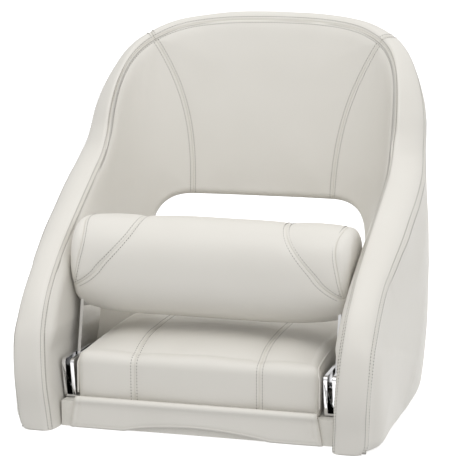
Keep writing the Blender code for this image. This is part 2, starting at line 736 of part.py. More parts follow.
def make_base(datum):
    """Ribbed base frame, mounting plate, its screws, cushion board and front apron."""
    body = to_mesh(outline_solid(plan_line(GAP * 2, BASE_FRONT), 0, BASE_HEIGHT))
    back = back_inside(0)
    inside = ARM_CENTRE - SCREW_RADIUS - GAP - RIB_WALL
    pocket_top = BASE_HEIGHT - BASE_DECK
    side_from = BOSS_HALF + RIB_WALL
    front = BASE_FRONT + BASE_SKIRT
    boss_front = PEDESTAL_DISTANCE - BOSS_HALF
    boss_back = PEDESTAL_DISTANCE + BOSS_HALF
    cutters = []
    width = (2 * BOSS_HALF - (POCKET_COLUMNS - 1) * RIB_WALL) / POCKET_COLUMNS
    for column in range(POCKET_COLUMNS):
        low = -BOSS_HALF + column * (width + RIB_WALL)
        cutters.append(box_mesh((low, front, -OVERRUN), (low + width, boss_front - RIB_WALL,
                                                        pocket_top)))
        cutters.append(box_mesh((low, boss_back + RIB_WALL, -OVERRUN),
                                (low + width, back - BASE_SKIRT, pocket_top)))
    side_back = side_start(0) + CORNER_DEPTH * POCKET_REACH_SHARE
    depth = (side_back - front - (POCKET_ROWS - 1) * RIB_WALL) / POCKET_ROWS
    side_width = (inside - side_from - RIB_WALL) / 2
    for row in range(POCKET_ROWS):
        low = front + row * (depth + RIB_WALL)
        for side in (-1, 1):
            for near in (side_from, side_from + side_width + RIB_WALL):
                ends = sorted((side * near, side * (near + side_width)))
                cutters.append(box_mesh((ends[0], low, -OVERRUN),
                                        (ends[1], low + depth, pocket_top)))
    recess = PLATE_HALF + GAP
    cutters.append(box_mesh((-recess, PEDESTAL_DISTANCE - recess, -OVERRUN),
                            (recess, PEDESTAL_DISTANCE + recess, PLATE_THICKNESS + GAP)))
    hole = SCREW_RADIUS + GAP
    screw_up = Matrix.Rotation(math.radians(180), 4, "X")
    for x, y in four_places(PLATE_SCREW_HALF, PEDESTAL_DISTANCE):
        cutters.append(rod_mesh(hole, -OVERRUN, SCREW_LENGTH + SCREW_HEAD + GAP * 2, 12, UPRIGHT,
                                (x, y, 0)))
    for x, y in four_places(PEDESTAL_BOLT_HALF, PEDESTAL_DISTANCE):
        cutters.append(rod_mesh(PEDESTAL_BOLT_ROOM, -OVERRUN, pocket_top, 12, UPRIGHT, (x, y, 0)))
    for x, y in bracket_screw_places():
        cutters.append(rod_mesh(hole, BASE_HEIGHT - SCREW_LENGTH, BASE_HEIGHT + OVERRUN, 12,
                                UPRIGHT, (x, y, 0)))
    finish_piece("base_frame", cut_mesh(body, cutters), (VINYL_SHADE, 0.5, 0.0), datum)

    corners = four_places(PLATE_HALF, PEDESTAL_DISTANCE)
    corners = [corners[0], corners[2], corners[3], corners[1]]
    plate = to_mesh(outline_solid(rounded(corners, [PLATE_CORNER] * 4), 0, PLATE_THICKNESS))
    cutters = [rod_mesh(PEDESTAL_BOLT_RADIUS, -OVERRUN, PLATE_THICKNESS + OVERRUN, 16, UPRIGHT,
                        (x, y, 0)) for x, y in four_places(PEDESTAL_BOLT_HALF, PEDESTAL_DISTANCE)]
    screws = []
    for x, y in four_places(PLATE_SCREW_HALF, PEDESTAL_DISTANCE):
        cutters.append(stepped_mesh(hole, SCREW_HEAD_RADIUS + GAP, -SCREW_HEAD - GAP,
                                    -PLATE_THICKNESS - OVERRUN, OVERRUN, screw_up, (x, y, 0)))
        screws.append(turned_mesh(screw_profile(SCREW_RADIUS, SCREW_HEAD_RADIUS, SCREW_HEAD,
                                                SCREW_LENGTH), 12, screw_up,
                                  (x, y, SCREW_HEAD)))
    finish_piece("mounting_plate", cut_mesh(plate, cutters), (STEEL, 0.35, 1.0), datum)
    for number, screw in enumerate(screws, 1):
        finish_piece(f"plate_screw_{number}", screw, (STEEL, 0.3, 1.0), datum)

    board = outline_solid(cushion_outline(BOARD_INSET), BASE_HEIGHT + GAP,
                          BASE_HEIGHT + BOARD_THICKNESS)
    finish_piece("cushion_board", to_mesh(board), (WOOD, 0.7, 0.0), datum)

    apron_top = BASE_HEIGHT + BOARD_THICKNESS
    arch = [(APRON_HALF_FOOT * s, APRON_ARCH * t) for s, t in smooth_line(ARCH_SHARES, 4)]
    line = [(-APRON_HALF_TOP, apron_top), (-APRON_HALF_FOOT, 0)] + list(reversed(arch)) + [
        (APRON_HALF_FOOT, 0), (APRON_HALF_TOP, apron_top)]
    apron = outline_solid(line, 0, APRON_THICKNESS)
    mesh = to_mesh(apron)
    mesh.transform(Matrix.Translation((0, BASE_FRONT - GAP, 0))
                   @ Matrix.Rotation(math.radians(90), 4, "X"))
    finish_piece("front_apron", mesh, (VINYL, 0.45, 0.0), datum)


def cushion_back(x, inset):
    """The cushion's rear edge at a distance across, on the curve of the wall behind it."""
    half = CUSHION_HALF - inset
    depth = CORNER_DEPTH * half / INNER_HALF_TOP
    back = back_inside(BASE_HEIGHT) - CUSHION_REAR_GAP - inset
    across = min(abs(x) / half, 1)
    return back - depth + depth * (1 - across ** CORNER_POWER) ** (1 / CORNER_POWER)


def cushion_columns(inset):
    """Distances across at which the cushion has a line of points, from side to side."""
    inner = CUSHION_SEAM - CUSHION_GROOVE_HALF
    outer = CUSHION_SEAM + CUSHION_GROOVE_HALF
    half = CUSHION_HALF - inset
    right = [inner * share for share in INNER_COLUMN_SHARES] + [inner, CUSHION_SEAM, outer]
    right += [outer + (half - outer) * share for share in OUTER_COLUMN_SHARES]
    return [-x for x in reversed(right[1:])] + right


def cushion_swell(x):
    """How far a place across stands out of the cushion's plain face: each panel is puffed, and
    the two seams are sunk."""
    from_seam = abs(abs(x) - CUSHION_SEAM)
    if from_seam < CUSHION_GROOVE_HALF:
        return -CUSHION_GROOVE * (1 - from_seam / CUSHION_GROOVE_HALF)
    middle = 0 if abs(x) < CUSHION_SEAM else (CUSHION_SEAM + CUSHION_HALF) / 2
    half = CUSHION_SEAM if abs(x) < CUSHION_SEAM else (CUSHION_HALF - CUSHION_SEAM) / 2
    return CUSHION_PUFF * max(0, 1 - (abs(abs(x) - middle) / half) ** 2)


def cushion_grid(inset):
    """Plan places of the cushion's lines, drawn in from its sides, column by column."""
    front = CUSHION_FRONT + inset
    grid = []
    for x in cushion_columns(inset):
        outer = max(0, abs(x) - CUSHION_SEAM) / (CUSHION_HALF - CUSHION_SEAM)
        back = cushion_back(x, inset)
        grid.append([(x - math.copysign(CUSHION_SIDE_DRAW * outer * math.sin(math.pi * share), x),
                      front + (back - front) * share) for share in CUSHION_ROW_SHARES])
    return grid


def around(grid):
    """The places on the border of a grid, once round."""
    return ([column[0] for column in grid] + grid[-1][1:-1]
            + [column[-1] for column in reversed(grid)] + list(reversed(grid[0][1:-1])))


def cushion_outline(inset):
    """Plan outline of what lies under the cushion, drawn in from its sides."""
    half = CUSHION_HALF - inset
    front = CUSHION_FRONT + inset
    right = [(x, cushion_back(x, inset)) for x in cushion_columns(inset) if x > CUSHION_SEAM]
    right = [(0, cushion_back(0, inset))] + right + [(half, front)]
    return right + [(-x, y) for x, y in reversed(right[1:])]


def make_cushion(datum):
    """Crowned seat cushion with drawn-in sides and two sewn channels from front to back."""
    low = BASE_HEIGHT + BOARD_THICKNESS + GAP
    top = low + CUSHION_TALL
    length = cushion_back(0, CUSHION_EDGE) - CUSHION_FRONT - CUSHION_EDGE
    bm = bmesh.new()
    grid = cushion_grid(CUSHION_EDGE)
    lines = []
    for column in grid:
        line = []
        for x, y in column:
            along = 2 * (y - CUSHION_FRONT - CUSHION_EDGE) / length - 1
            crown = CUSHION_CROWN * (1 - (x / CUSHION_HALF) ** 4) * (1 - along ** 4)
            line.append(bm.verts.new((x, y, top + crown + cushion_swell(x))))
        lines.append(line)
    for near, far in zip(lines, lines[1:]):
        for k in range(len(near) - 1):
            bm.faces.new((near[k], far[k], far[k + 1], near[k + 1]))

    wall = top - CUSHION_EDGE - low
    levels = []
    for k in range(1, EDGE_STEPS + 1):
        turn = math.pi / 2 * k / EDGE_STEPS
        levels.append((CUSHION_EDGE * (1 - math.sin(turn)),
                       top - CUSHION_EDGE * (1 - math.cos(turn)), turn))
    for share in CUSHION_WALL_SHARES:
        levels.append((CUSHION_FOOT_DRAW * (1 - share) ** 2, low + wall * share, math.pi / 2))
    loop = around(lines)
    crowns = [vert.co.z - top - cushion_swell(vert.co.x) for vert in loop]
    for inset, level, turn in levels:
        ring = []
        for (x, y), crown in zip(around(cushion_grid(inset)), crowns):
            front_row = y < CUSHION_FRONT + inset + MERGE
            out = cushion_swell(x) * math.sin(turn) if front_row and level > low else 0
            up = (crown + cushion_swell(x)) * math.cos(turn)
            ring.append(bm.verts.new((x, y - out, level + up)))
        for k, (a, b) in enumerate(zip(loop, ring)):
            j = (k + 1) % len(ring)
            bm.faces.new((a, b, ring[j], loop[j]))
        loop = ring
    bm.faces.new(loop)
    bmesh.ops.triangulate(bm, faces=bm.faces)
    finish_piece("seat_cushion", to_mesh(face_out(bm)), (VINYL, 0.45, 0.0), datum)


def arm_frame():
    """Unit rise from the pivot to the bolster's centre, unit reach rearwards, and the span."""
    rise = Vector((BOLSTER_BACK - PIVOT_BACK, BOLSTER_UP - PIVOT_UP))
    span = rise.length
    rise = rise.normalized()
    return rise, Vector((rise.y, -rise.x)), span


def arm_point(up, rear):
    """A point of the arm's plane from shares of the span along its rise and rearwards."""
    rise, reach, span = arm_frame()
    return Vector((PIVOT_BACK, PIVOT_UP)) + rise * up * span + reach * rear * span


def arm_outline(grow):
    """Side outline of a swing arm: a round eye at the pivot that widens into a plate."""
    front = [arm_point(*share) for share in ARM_FRONT_SHARES]
    rear = [arm_point(*share) for share in ARM_REAR_SHARES]
    rise, reach, span = arm_frame()
    start = math.atan2(-reach.y, -reach.x)
    end = math.atan2(-rise.y, -rise.x) + EYE_WRAP
    if end < start:
        end += 2 * math.pi
    eye = arc((PIVOT_BACK, PIVOT_UP), EYE_RADIUS + grow, start, end, 10)
    plate = front + rear
    middle = sum(plate, Vector((0, 0))) / len(plate)
    plate = [tuple(point + (point - middle).normalized() * grow) for point in plate]
    return list(reversed(eye)) + smooth_line(plate, 2)


def side_solid(outline, thickness, centre_x):
    """An outline drawn in the side view, as a plate about a distance from the centre line."""
    mesh = to_mesh(outline_solid(outline, -thickness / 2, thickness / 2))
    turn = Matrix(((0, 0, 1, 0), (1, 0, 0, 0), (0, 1, 0, 0), (0, 0, 0, 1)))
    mesh.transform(Matrix.Translation((centre_x, 0, 0)) @ turn)
    return mesh


def swung(point, angle):
    """A point of the side view after the bolster has swung forward by an angle."""
    y, z = point[0] - PIVOT_BACK, point[1] - PIVOT_UP
    return (PIVOT_BACK + y * math.cos(angle) - z * math.sin(angle),
            PIVOT_UP + y * math.sin(angle) + z * math.cos(angle))


def stop_places():
    """Centres of the two stop pins in the side view: one behind the standing arm, one under the
    lowered arm."""
    distance = STOP_RADIUS + GAP
    rear = outline_contact(arm_outline(0), 0, BRACKET_REAR - BRACKET_CORNER * 2, distance)
    front = outline_contact(arm_outline(0), SWING, BRACKET_FRONT_FOOT + BRACKET_CORNER, distance)
    return [rear, front]


def outline_contact(outline, angle, back, distance):
    """The centre of a pin that touches the underside of the turned arm at a place."""
    line = [swung(point, angle) for point in outline]
    low = None
    for a, b in zip(line, line[1:] + line[:1]):
        if (a[0] - back) * (b[0] - back) <= 0 and a[0] != b[0]:
            height = a[1] + (b[1] - a[1]) * (back - a[0]) / (b[0] - a[0])
            if low is None or height < low[0]:
                slope = Vector((b[0] - a[0], b[1] - a[1])).normalized()
                low = (height, slope)
    height, slope = low
    normal = Vector((slope.y, -slope.x))
    if normal.y > 0:
        normal = -normal
    return Vector((back, height)) + normal * distance


def make_hinges(datum):
    """Brackets, stop pins, pivot pins, clips and the brackets' screws."""
    slot = BRACKET_SLOT
    total = BRACKET_WIDTH
    foot = BASE_HEIGHT + GAP
    top = foot + BRACKET_TALL
    side = [(BRACKET_FRONT_FOOT, foot), (BRACKET_REAR, foot), (BRACKET_REAR, top),
            (BRACKET_FRONT_TOP, top)]
    outline = rounded(side, [BRACKET_WEB, BRACKET_WEB, BRACKET_CORNER * 2, BRACKET_CORNER], 4)
    body = side_solid(outline, total, ARM_CENTRE)
    cutters = [box_mesh((ARM_CENTRE - slot / 2, BRACKET_FRONT_TOP - OVERRUN, foot + BRACKET_WEB),
                        (ARM_CENTRE + slot / 2, BRACKET_REAR + OVERRUN, top + OVERRUN))]
    cutters.append(rod_mesh(PIN_RADIUS + GAP, -total, total, 16, ALONG_X,
                            (ARM_CENTRE, PIVOT_BACK, PIVOT_UP)))
    steel = (STEEL, 0.15, 1.0)
    for name, (y, z) in zip(("rear", "front"), stop_places()):
        cutters.append(rod_mesh(STOP_RADIUS + GAP, -total, total, 12, ALONG_X,
                                (ARM_CENTRE, y, z)))
        stop = rod_mesh(STOP_RADIUS, -total / 2, total / 2, 12, ALONG_X, (ARM_CENTRE, y, z))
        finish_piece(f"stop_pin_left_{name}", mirrored(stop), steel, datum)
        finish_piece(f"stop_pin_right_{name}", stop, steel, datum)
    for number, (x, y) in enumerate(bracket_screw_places(), 1):
        head = foot + BRACKET_WEB + GAP
        screw = turned_mesh(screw_profile(SCREW_RADIUS, SCREW_HEAD_RADIUS, SCREW_HEAD,
                                          SCREW_LENGTH), 12, UPRIGHT, (x, y, head))
        finish_piece(f"bracket_screw_{number}", screw, steel, datum)
        if x > 0:
            cutters.append(rod_mesh(SCREW_RADIUS + GAP, -OVERRUN, BRACKET_WEB + OVERRUN, 12,
                                    UPRIGHT, (x, y, foot)))
    bracket = cut_mesh(body, cutters)
    finish_piece("hinge_bracket_left", mirrored(bracket), steel, datum)
    finish_piece("hinge_bracket_right", bracket, steel, datum)

    tail = total + GAP * 2 + CLIP_THICKNESS + PIN_TAIL
    clip_at = total + GAP * 2
    neck = PIN_RADIUS - CLIP_GROOVE
    profile = [(0, PIN_HEAD), (PIN_HEAD_RADIUS * HEAD_TOP_SHARE, PIN_HEAD),
               (PIN_HEAD_RADIUS, PIN_HEAD * HEAD_SIDE_SHARE), (PIN_HEAD_RADIUS, 0),
               (PIN_RADIUS, 0), (PIN_RADIUS, -clip_at),
               (neck, -clip_at), (neck, -clip_at - CLIP_THICKNESS - GAP),
               (PIN_RADIUS, -clip_at - CLIP_THICKNESS - GAP), (PIN_RADIUS, -tail), (0, -tail)]
    start = (ARM_CENTRE - total / 2 - GAP, PIVOT_BACK, PIVOT_UP)
    pin = turned_mesh(profile, 20, AGAINST_X, start)
    finish_piece("pivot_pin_left", mirrored(pin), steel, datum)
    finish_piece("pivot_pin_right", pin, steel, datum)
    whole = 2 * math.pi
    clip_line = arc((0, 0), CLIP_RADIUS, CLIP_MOUTH, whole - CLIP_MOUTH, 12) + list(reversed(
        arc((0, 0), neck + GAP, CLIP_THROAT, whole - CLIP_THROAT, 12)))
    clip = to_mesh(outline_solid(clip_line, GAP / 2, CLIP_THICKNESS))
    clip.transform(Matrix.Translation((ARM_CENTRE + total / 2 + GAP, PIVOT_BACK, PIVOT_UP))
                   @ ALONG_X)
    finish_piece("pivot_clip_left", mirrored(clip), steel, datum)
    finish_piece("pivot_clip_right", clip, steel, datum)


def bolster_section(across, shrink, count=24):
    """Cross-section of the bolster at a share of its half length, drawn in by a distance."""
    rise = BOLSTER_END_RISE * across ** 6
    slim = BOLSTER_END_SLIM * across ** 4
    depth = BOLSTER_HALF_DEPTH - slim - shrink
    tall = BOLSTER_HALF_TALL - rise / 2 - slim / 2 - shrink
    centre = (BOLSTER_BACK, BOLSTER_UP + rise / 2)
    line = []
    for k in range(count):
        turn = 2 * math.pi * k / count
        c, s = math.cos(turn), math.sin(turn)
        line.append((centre[0] + depth * math.copysign(abs(c) ** (2 / BOLSTER_POWER), c),
                     centre[1] + tall * math.copysign(abs(s) ** (2 / BOLSTER_POWER), s)))
    return line


def lofted(rings, hollow):
    """A solid over rings of points, each given as a distance across and a side-view outline.
    A solid one is capped at its ends. A hollow one goes back inside itself to its first ring."""
    bm = bmesh.new()
    loops = [[bm.verts.new((x, y, z)) for y, z in line] for x, line in rings]
    for near, far in zip(loops, loops[1:] + loops[:1] if hollow else loops[1:]):
        for k in range(len(near)):
            j = (k + 1) % len(near)
            bm.faces.new((near[k], near[j], far[j], far[k]))
    if not hollow:
        bm.faces.new(loops[0])
        bm.faces.new(list(reversed(loops[-1])))
    return face_out(bm)


def make_bolster(pivot):
    """Bolster core, pad, end caps, swing arms and what holds them together."""
    inner_face = ARM_CENTRE - ARM_PLATE / 2
    pad_half = inner_face - GAP
    steel = (STEEL, 0.15, 1.0)
    vinyl = (VINYL, 0.45, 0.0)

    places = [side * pad_half * share for side in (-1, 1)
              for share in (PAD_RING_SHARES if side > 0 else reversed(PAD_RING_SHARES))]
    outside = [(x, bolster_section(abs(x) / BOLSTER_HALF, 0)) for x in places]
    inside = [(x, bolster_section(1, PAD_WALL)) for x in (pad_half, -pad_half)]
    finish_piece("bolster_pad", to_mesh(lofted(outside + inside, True)), vinyl, pivot)

    core_rings = [(x, bolster_section(1, PAD_WALL + GAP * 2)) for x in (-pad_half, pad_half)]
    core = to_mesh(lofted(core_rings, False))
    arm_cutters = [rod_mesh(PIN_RADIUS + BUSH_WALL + GAP * 2, -ARM_PLATE, ARM_PLATE, 20, ALONG_X,
                            (ARM_CENTRE, PIVOT_BACK, PIVOT_UP))]
    core_cutters = []
    head_from = ARM_CENTRE + ARM_PLATE / 2 - ARM_SCREW_HEAD
    for number, share in enumerate(ARM_SCREW_SHARES, 1):
        y, z = arm_point(*share)
        arm_cutters.append(stepped_mesh(ARM_SCREW_RADIUS + GAP, ARM_SCREW_HEAD_RADIUS + GAP,
                                        -GAP, -ARM_PLATE, ARM_PLATE, ALONG_X,
                                        (head_from, y, z)))
        profile = screw_profile(ARM_SCREW_RADIUS, ARM_SCREW_HEAD_RADIUS, ARM_SCREW_HEAD - GAP,
                                ARM_SCREW_LENGTH)
        screw = turned_mesh(profile, 12, ALONG_X, (head_from, y, z))
        finish_piece(f"arm_screw_left_{number}", mirrored(screw), steel, pivot)
        finish_piece(f"arm_screw_right_{number}", screw, steel, pivot)
        for side in (-1, 1):
            core_cutters.append(rod_mesh(ARM_SCREW_RADIUS + GAP, -ARM_SCREW_LENGTH, OVERRUN * 3,
                                         12, ALONG_X if side > 0 else AGAINST_X,
                                         (side * head_from, y, z)))
    finish_piece("bolster_core", cut_mesh(core, core_cutters), (WOOD, 0.7, 0.0), pivot)
    arm = cut_mesh(side_solid(arm_outline(0), ARM_PLATE, ARM_CENTRE), arm_cutters)
    finish_piece("swing_arm_left", mirrored(arm), steel, pivot)
    finish_piece("swing_arm_right", arm, steel, pivot)

    cap_rings = [(inner_face + (BOLSTER_HALF - inner_face) * share,
                  bolster_section(1, CAP_ROUND * round_share))
                 for share, round_share in CAP_SHARES]
    cap = to_mesh(lofted(cap_rings, False))
    pocket = side_solid(arm_outline(GAP * 2), ARM_PLATE + GAP * 2 + OVERRUN,
                        ARM_CENTRE + GAP - OVERRUN / 2)
    cap = cut_mesh(cap, [pocket])
    finish_piece("bolster_end_left", mirrored(cap), vinyl, pivot)
    finish_piece("bolster_end_right", cap, vinyl, pivot)

    sleeve = PIN_RADIUS + GAP
    outer = sleeve + BUSH_WALL
    washer_from = ARM_CENTRE - ARM_PLATE / 2 - GAP - WASHER
    profile = [(sleeve, 0), (FLANGE_RADIUS, 0), (FLANGE_RADIUS, -WASHER), (outer, -WASHER),
               (outer, -WASHER - ARM_PLATE - GAP), (sleeve, -WASHER - ARM_PLATE - GAP),
               (sleeve, 0)]
    bush = turned_mesh(profile, 20, AGAINST_X, (washer_from, PIVOT_BACK, PIVOT_UP))
    nylon = (NYLON, 0.5, 0.0)
    finish_piece("pivot_bush_left", mirrored(bush), nylon, pivot)
    finish_piece("pivot_bush_right", bush, nylon, pivot)
    profile = [(sleeve, WASHER), (FLANGE_RADIUS, WASHER), (FLANGE_RADIUS, 0), (sleeve, 0),
               (sleeve, WASHER)]
    washer = turned_mesh(profile, 20, ALONG_X,
                         (ARM_CENTRE + ARM_PLATE / 2 + GAP, PIVOT_BACK, PIVOT_UP))
    finish_piece("pivot_washer_left", mirrored(washer), nylon, pivot)
    finish_piece("pivot_washer_right", washer, nylon, pivot)


PARTS = None
CUTTERS = None


def main():
    global PARTS, CUTTERS
    clean_scene()
    PARTS = new_collection("flip_up_seat")
    CUTTERS = new_collection("cutters")
    datum = bpy.data.objects.new("seat_datum", None)
    datum.location = (0, -PEDESTAL_DISTANCE, 0)
    PARTS.objects.link(datum)
    pivot = bpy.data.objects.new("bolster_pivot", None)
    pivot.location = (0, PIVOT_BACK, PIVOT_UP)
    pivot.parent = datum
    PARTS.objects.link(pivot)
    make_wrap(datum)
    make_base(datum)
    make_cushion(datum)
    make_hinges(datum)
    make_bolster(pivot)


main()
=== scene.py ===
"""Looks of a flip-up helm seat: soft off-white vinyl over padding, double topstitched seams and
polished swing arms.

Metres, +Z up, the seat faces -Y. The wrap is drawn on a flat sheet, as its cover is cut, with
the run along the plan curve from the centre of the back, the height, and the depth through the
wall from its inner face outwards. The sheet is then bent into the wall.
"""
import math

import bmesh
import bpy
import numpy as np
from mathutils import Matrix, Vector, noise
from mathutils.geometry import delaunay_2d_cdt


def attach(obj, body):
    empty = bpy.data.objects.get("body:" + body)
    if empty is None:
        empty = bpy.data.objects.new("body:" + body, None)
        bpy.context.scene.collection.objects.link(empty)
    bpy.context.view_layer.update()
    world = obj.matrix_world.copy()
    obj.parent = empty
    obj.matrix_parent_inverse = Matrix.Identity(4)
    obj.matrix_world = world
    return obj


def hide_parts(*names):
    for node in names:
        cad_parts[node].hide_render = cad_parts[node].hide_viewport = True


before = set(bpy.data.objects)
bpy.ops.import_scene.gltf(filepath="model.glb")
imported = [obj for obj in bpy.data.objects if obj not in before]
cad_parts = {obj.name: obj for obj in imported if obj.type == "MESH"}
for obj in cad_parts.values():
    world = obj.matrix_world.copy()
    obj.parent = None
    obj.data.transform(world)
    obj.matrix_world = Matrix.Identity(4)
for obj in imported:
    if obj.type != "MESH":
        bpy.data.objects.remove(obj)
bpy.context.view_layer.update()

MERGE = 0.00001

# The camera that matches the photograph
VIEW_AZIMUTH = math.radians(15.5)
VIEW_ELEVATION = math.radians(10.0)
VIEW_TARGET = Vector((-0.005, -0.015, 0.286))
VIEW_DISTANCE = 2.816
VIEW_LENS = 135.3
SENSOR = 36.0

# Studio
FLOOR_REACH = 60
FLOOR_DROP = 0.0005
LAMP_PLACE = Vector((0.0, -1.1, 2.1))
LAMP_TARGET = Vector((0, 0.1, 0.45))
LAMP_SIZE = (1.5, 1.2)
LAMP_POWER = 11
SKY_SLOPE = (0.12, 0.0, 0.36)
SKY_LEVEL = 0.712

# The wrap's plan and height, its wall and its rim
PEDESTAL_DISTANCE = 0.215
INNER_HALF_FLOOR = 0.218
INNER_HALF_TOP = 0.245
FLARE_HEIGHT = 0.587
BACK_INSIDE_FLOOR = 0.3705
BACK_LEAN = math.radians(9.8)
CORNER_DEPTH = 0.235
CORNER_POWER = 3.8
ARM_WALL = 0.064
FRONT_SEAM = 0.030
SEAM_HEIGHT = 0.612
INNER_PAD = 0.020
OUTER_FROM = 0.0443
SHELL_GAP = 0.0003
SHELL_STEP = 0.009
UNDER_EDGE = 0.018
ARM_WIDEST_SHARE = 0.2
RIM_SHARES = [(0.0, 1.0), (0.13, 0.996), (0.235, 0.983), (0.305, 0.961), (0.368, 0.927),
              (0.421, 0.882), (0.462, 0.826), (0.487, 0.765), (0.503, 0.70), (0.536, 0.636),
              (0.60, 0.589), (0.69, 0.535), (0.80, 0.468), (0.89, 0.405), (0.960, 0.335),
              (0.995, 0.265), (1.0, 0.20), (0.990, 0.12), (0.968, 0.05), (0.952, 0.0)]
EDGE_WALL_SHARES = [(0.0, 0.97), (0.2, 0.97), (0.3, 0.93), (0.42, 0.86), (0.58, 0.80),
                    (1.0, 0.80)]
FULL_WALL_SHARES = [(0.0, 0.42), (0.1, 0.48), (0.2, 0.48), (0.3, 0.47), (0.39, 0.45),
                    (0.49, 0.40), (0.59, 0.31), (0.7, 0.19), (0.8, 0.13), (0.9, 0.07), (1.0, 0.0)]
FULL_RUN_SHARES = [(0.0, 0.0), (0.3, 0.15), (0.55, 0.85), (0.72, 1.0), (0.85, 0.85), (1.0, 0.45),
                   (1.2, 0.15), (1.45, 0.0)]
WALL_LEAN_SHARES = [(0.0, 0.0), (0.55, 0.0), (0.68, 0.25), (0.82, 0.65), (0.92, 0.7), (1.0, 0.6)]
EDGE_DROP_SHARES = [(0.0, 0.02), (0.22, 0.04), (0.3, 0.18), (0.42, 0.26), (0.53, 0.34),
                    (0.62, 0.33), (0.68, 0.3), (0.76, 0.19), (0.86, 0.12), (0.94, 0.04), (1.0, 0.0)]
EDGE_WIDTH_SHARES = [(0.0, -0.07), (0.36, -0.07), (0.43, -0.01), (0.5, 0.04), (0.59, -0.05),
                     (0.66, -0.02), (0.73, 0.09), (0.79, 0.115), (0.85, 0.07), (0.9, 0.0),
                     (1.0, 0.0)]
EDGE_ROLL_SHARES = [(0.0, 0.06), (0.6, 0.08), (0.74, 0.16), (0.9, 0.13), (1.0, 0.06)]
ARM_PUFF = 0.007
ARM_PUFF_FROM = 0.012
ARM_PUFF_REACH = 0.05
ARM_PUFF_SHARES = [(0.0, 0.3), (0.12, 0.7), (0.2, 1.0), (0.36, 0.9), (0.5, 0.3), (0.6, 0.0),
                   (1.0, 0.0)]
FOOT_SWELL = 0.0155
FOOT_SWELL_HEIGHT = 0.16
FOOT_SWELL_FROM = 0.02
FOOT_SWELL_REACH = 0.10
EDGE_FADE = 0.06
ROLL_WIDTH = 0.022
CORNER_TUCK = 0.045
TUCK_RUN_SHARES = [(0.0, 0.0), (0.35, 0.2), (0.6, 0.75), (0.78, 0.75), (0.95, 0.3), (1.1, 0.0),
                   (2.0, 0.0)]
SIDE_FOLD_RUN = 0.405
SIDE_FOLD_LEAN = -0.25
SIDE_FOLD_TOP = 0.24
SIDE_FOLD_FADE = 0.05
SIDE_FOLD_DEPTH = 0.0009
SIDE_FOLD_WIDTH = 0.0016
SIDE_FOLD_RIDGE = 0.0005
SIDE_FOLD_RIDGE_AT = 0.004
HINGE_LEVEL = 0.08
HINGE_BEHIND = 0.18
HINGE_ABOVE = 0.155
HINGE_FADE = 0.03
HINGE_HOLLOW = 0.0012
TOP_CORNER_SHARE = 0.186
OUTER_SEAM_SHARE = 0.385
BAND_RISE = 0.008
BAND_CROWN = 0.0015
BAND_LIFT = 0.45
BAND_LIFT_FROM = 0.53
BAND_LIFT_OVER = 0.07
BAND_UNDER = 0.0012
BAND_WAVE = 0.0006
BAND_WAVES = (0.031, 0.11)
BAND_CORNER = 0.016

# Lumbar opening and panel seams
OPENING_TOP = 0.317
OPENING_FOOT = 0.154
OPENING_HALF_TOP = 0.196
OPENING_HALF_FOOT = 0.224
OPENING_CORNER = 0.062
BINDING_RISE = 0.006
OPENING_ROLL = 0.010
LINING_SHARE = 0.75
LINING_RISE = 0.0006
LINING_BULGE = 0.0012
LINING_WAVE = 0.0005
BACK_SEAM_FOOT = 0.129
BACK_SEAM_SWEEP = 2.6
LOW_SEAM = 0.150
OUTER_SEAM = 0.300

# Upholstery
SIDES = (("left", -1.0), ("right", 1.0))
SPACING = 0.003
CELL = 0.006
PANEL_PUFF = 0.004
PANEL_PUFF_REACH = 0.045
OUTER_PUFF = 1.4 * PANEL_PUFF
OUTER_PUFF_REACH = 0.07
WAVE = 0.0009
WAVE_SCALE = 0.07
OUTER_WAVE = 0.001
OUTER_WAVE_SCALE = 0.08
WAVE_REACH = 0.03
GATHER = 0.0008
GATHER_SCALE = 0.018
GATHER_REACH = 0.02
CREASE = 0.0008
CREASE_REACH = 0.0009
ROW_OFFSET = 0.0045
ROW_DENT = 0.0001
ROW_WIDTH = 0.0012
ROLL = 0.0016
ROLL_REACH = 0.010
PULL = 0.25
PULL_WAVES = (0.019, 0.043)
SEAM_INSET_SHARES = [(0.0, 0.0045), (0.6, 0.0045), (0.72, 0.001), (1.0, 0.0005)]
OUTER_INSET = 0.004
FLOOR_MARGIN = 0.004
END_TAPER = 0.0045
RING_OFFSETS = (0.0005, 0.0011, 0.002, 0.0031, 0.0042, 0.0054, 0.0072, 0.0095, 0.0125)
STITCH_PITCH = 0.0048
STITCH_LENGTH = 0.0024
STITCH_RADIUS = 0.0006
STITCH_LIFT = 0.0004
RIM_TRIM = 0.003
PANEL_TRIM = 0.006
CROSS_TRIM = 0.002
CUSHION_TRIM = 0.004
BOLSTER_TRIM = 0.010
CAP_TRIM = 0.012
PADDING = 0.004
GRAIN_SCALE = 900.0

# Seat cushion, apron and bolster
BASE_HEIGHT = 0.040
BASE_FRONT = 0.0055
BOARD_THICKNESS = 0.010
CUSHION_HALF = 0.195
CUSHION_FRONT = 0.014
CUSHION_TALL = 0.068
CUSHION_CROWN = 0.022
CUSHION_REAR_GAP = 0.010
CUSHION_SIDE_DRAW = 0.004
CUSHION_FOOT_DRAW = 0.004
CUSHION_EDGE = 0.018
CUSHION_CORNER = 0.012
CUSHION_PUFF = 0.003
CUSHION_SEAM = 0.100
CUSHION_ROWS = 84
EDGE_STEPS = 14
WALL_STEPS = 18
CUSHION_LIFT = 0.0006
CUSHION_WAVE = 0.0012
CUSHION_WAVE_SCALE = 0.06
CUSHION_CREASE = 0.0007
CUSHION_CREASE_SCALES = (0.03, 0.009)
CUSHION_CREASE_AT = 0.16
CUSHION_CREASE_REACH = 0.05
PIPING_RADIUS = 0.0016
PIPING_IN = 0.0015
PIPING_TURN = 0.004
PIPING_SINK = 0.002
APRON_HALF_TOP = 0.193
APRON_HALF_FOOT = 0.202
APRON_THICKNESS = 0.0065
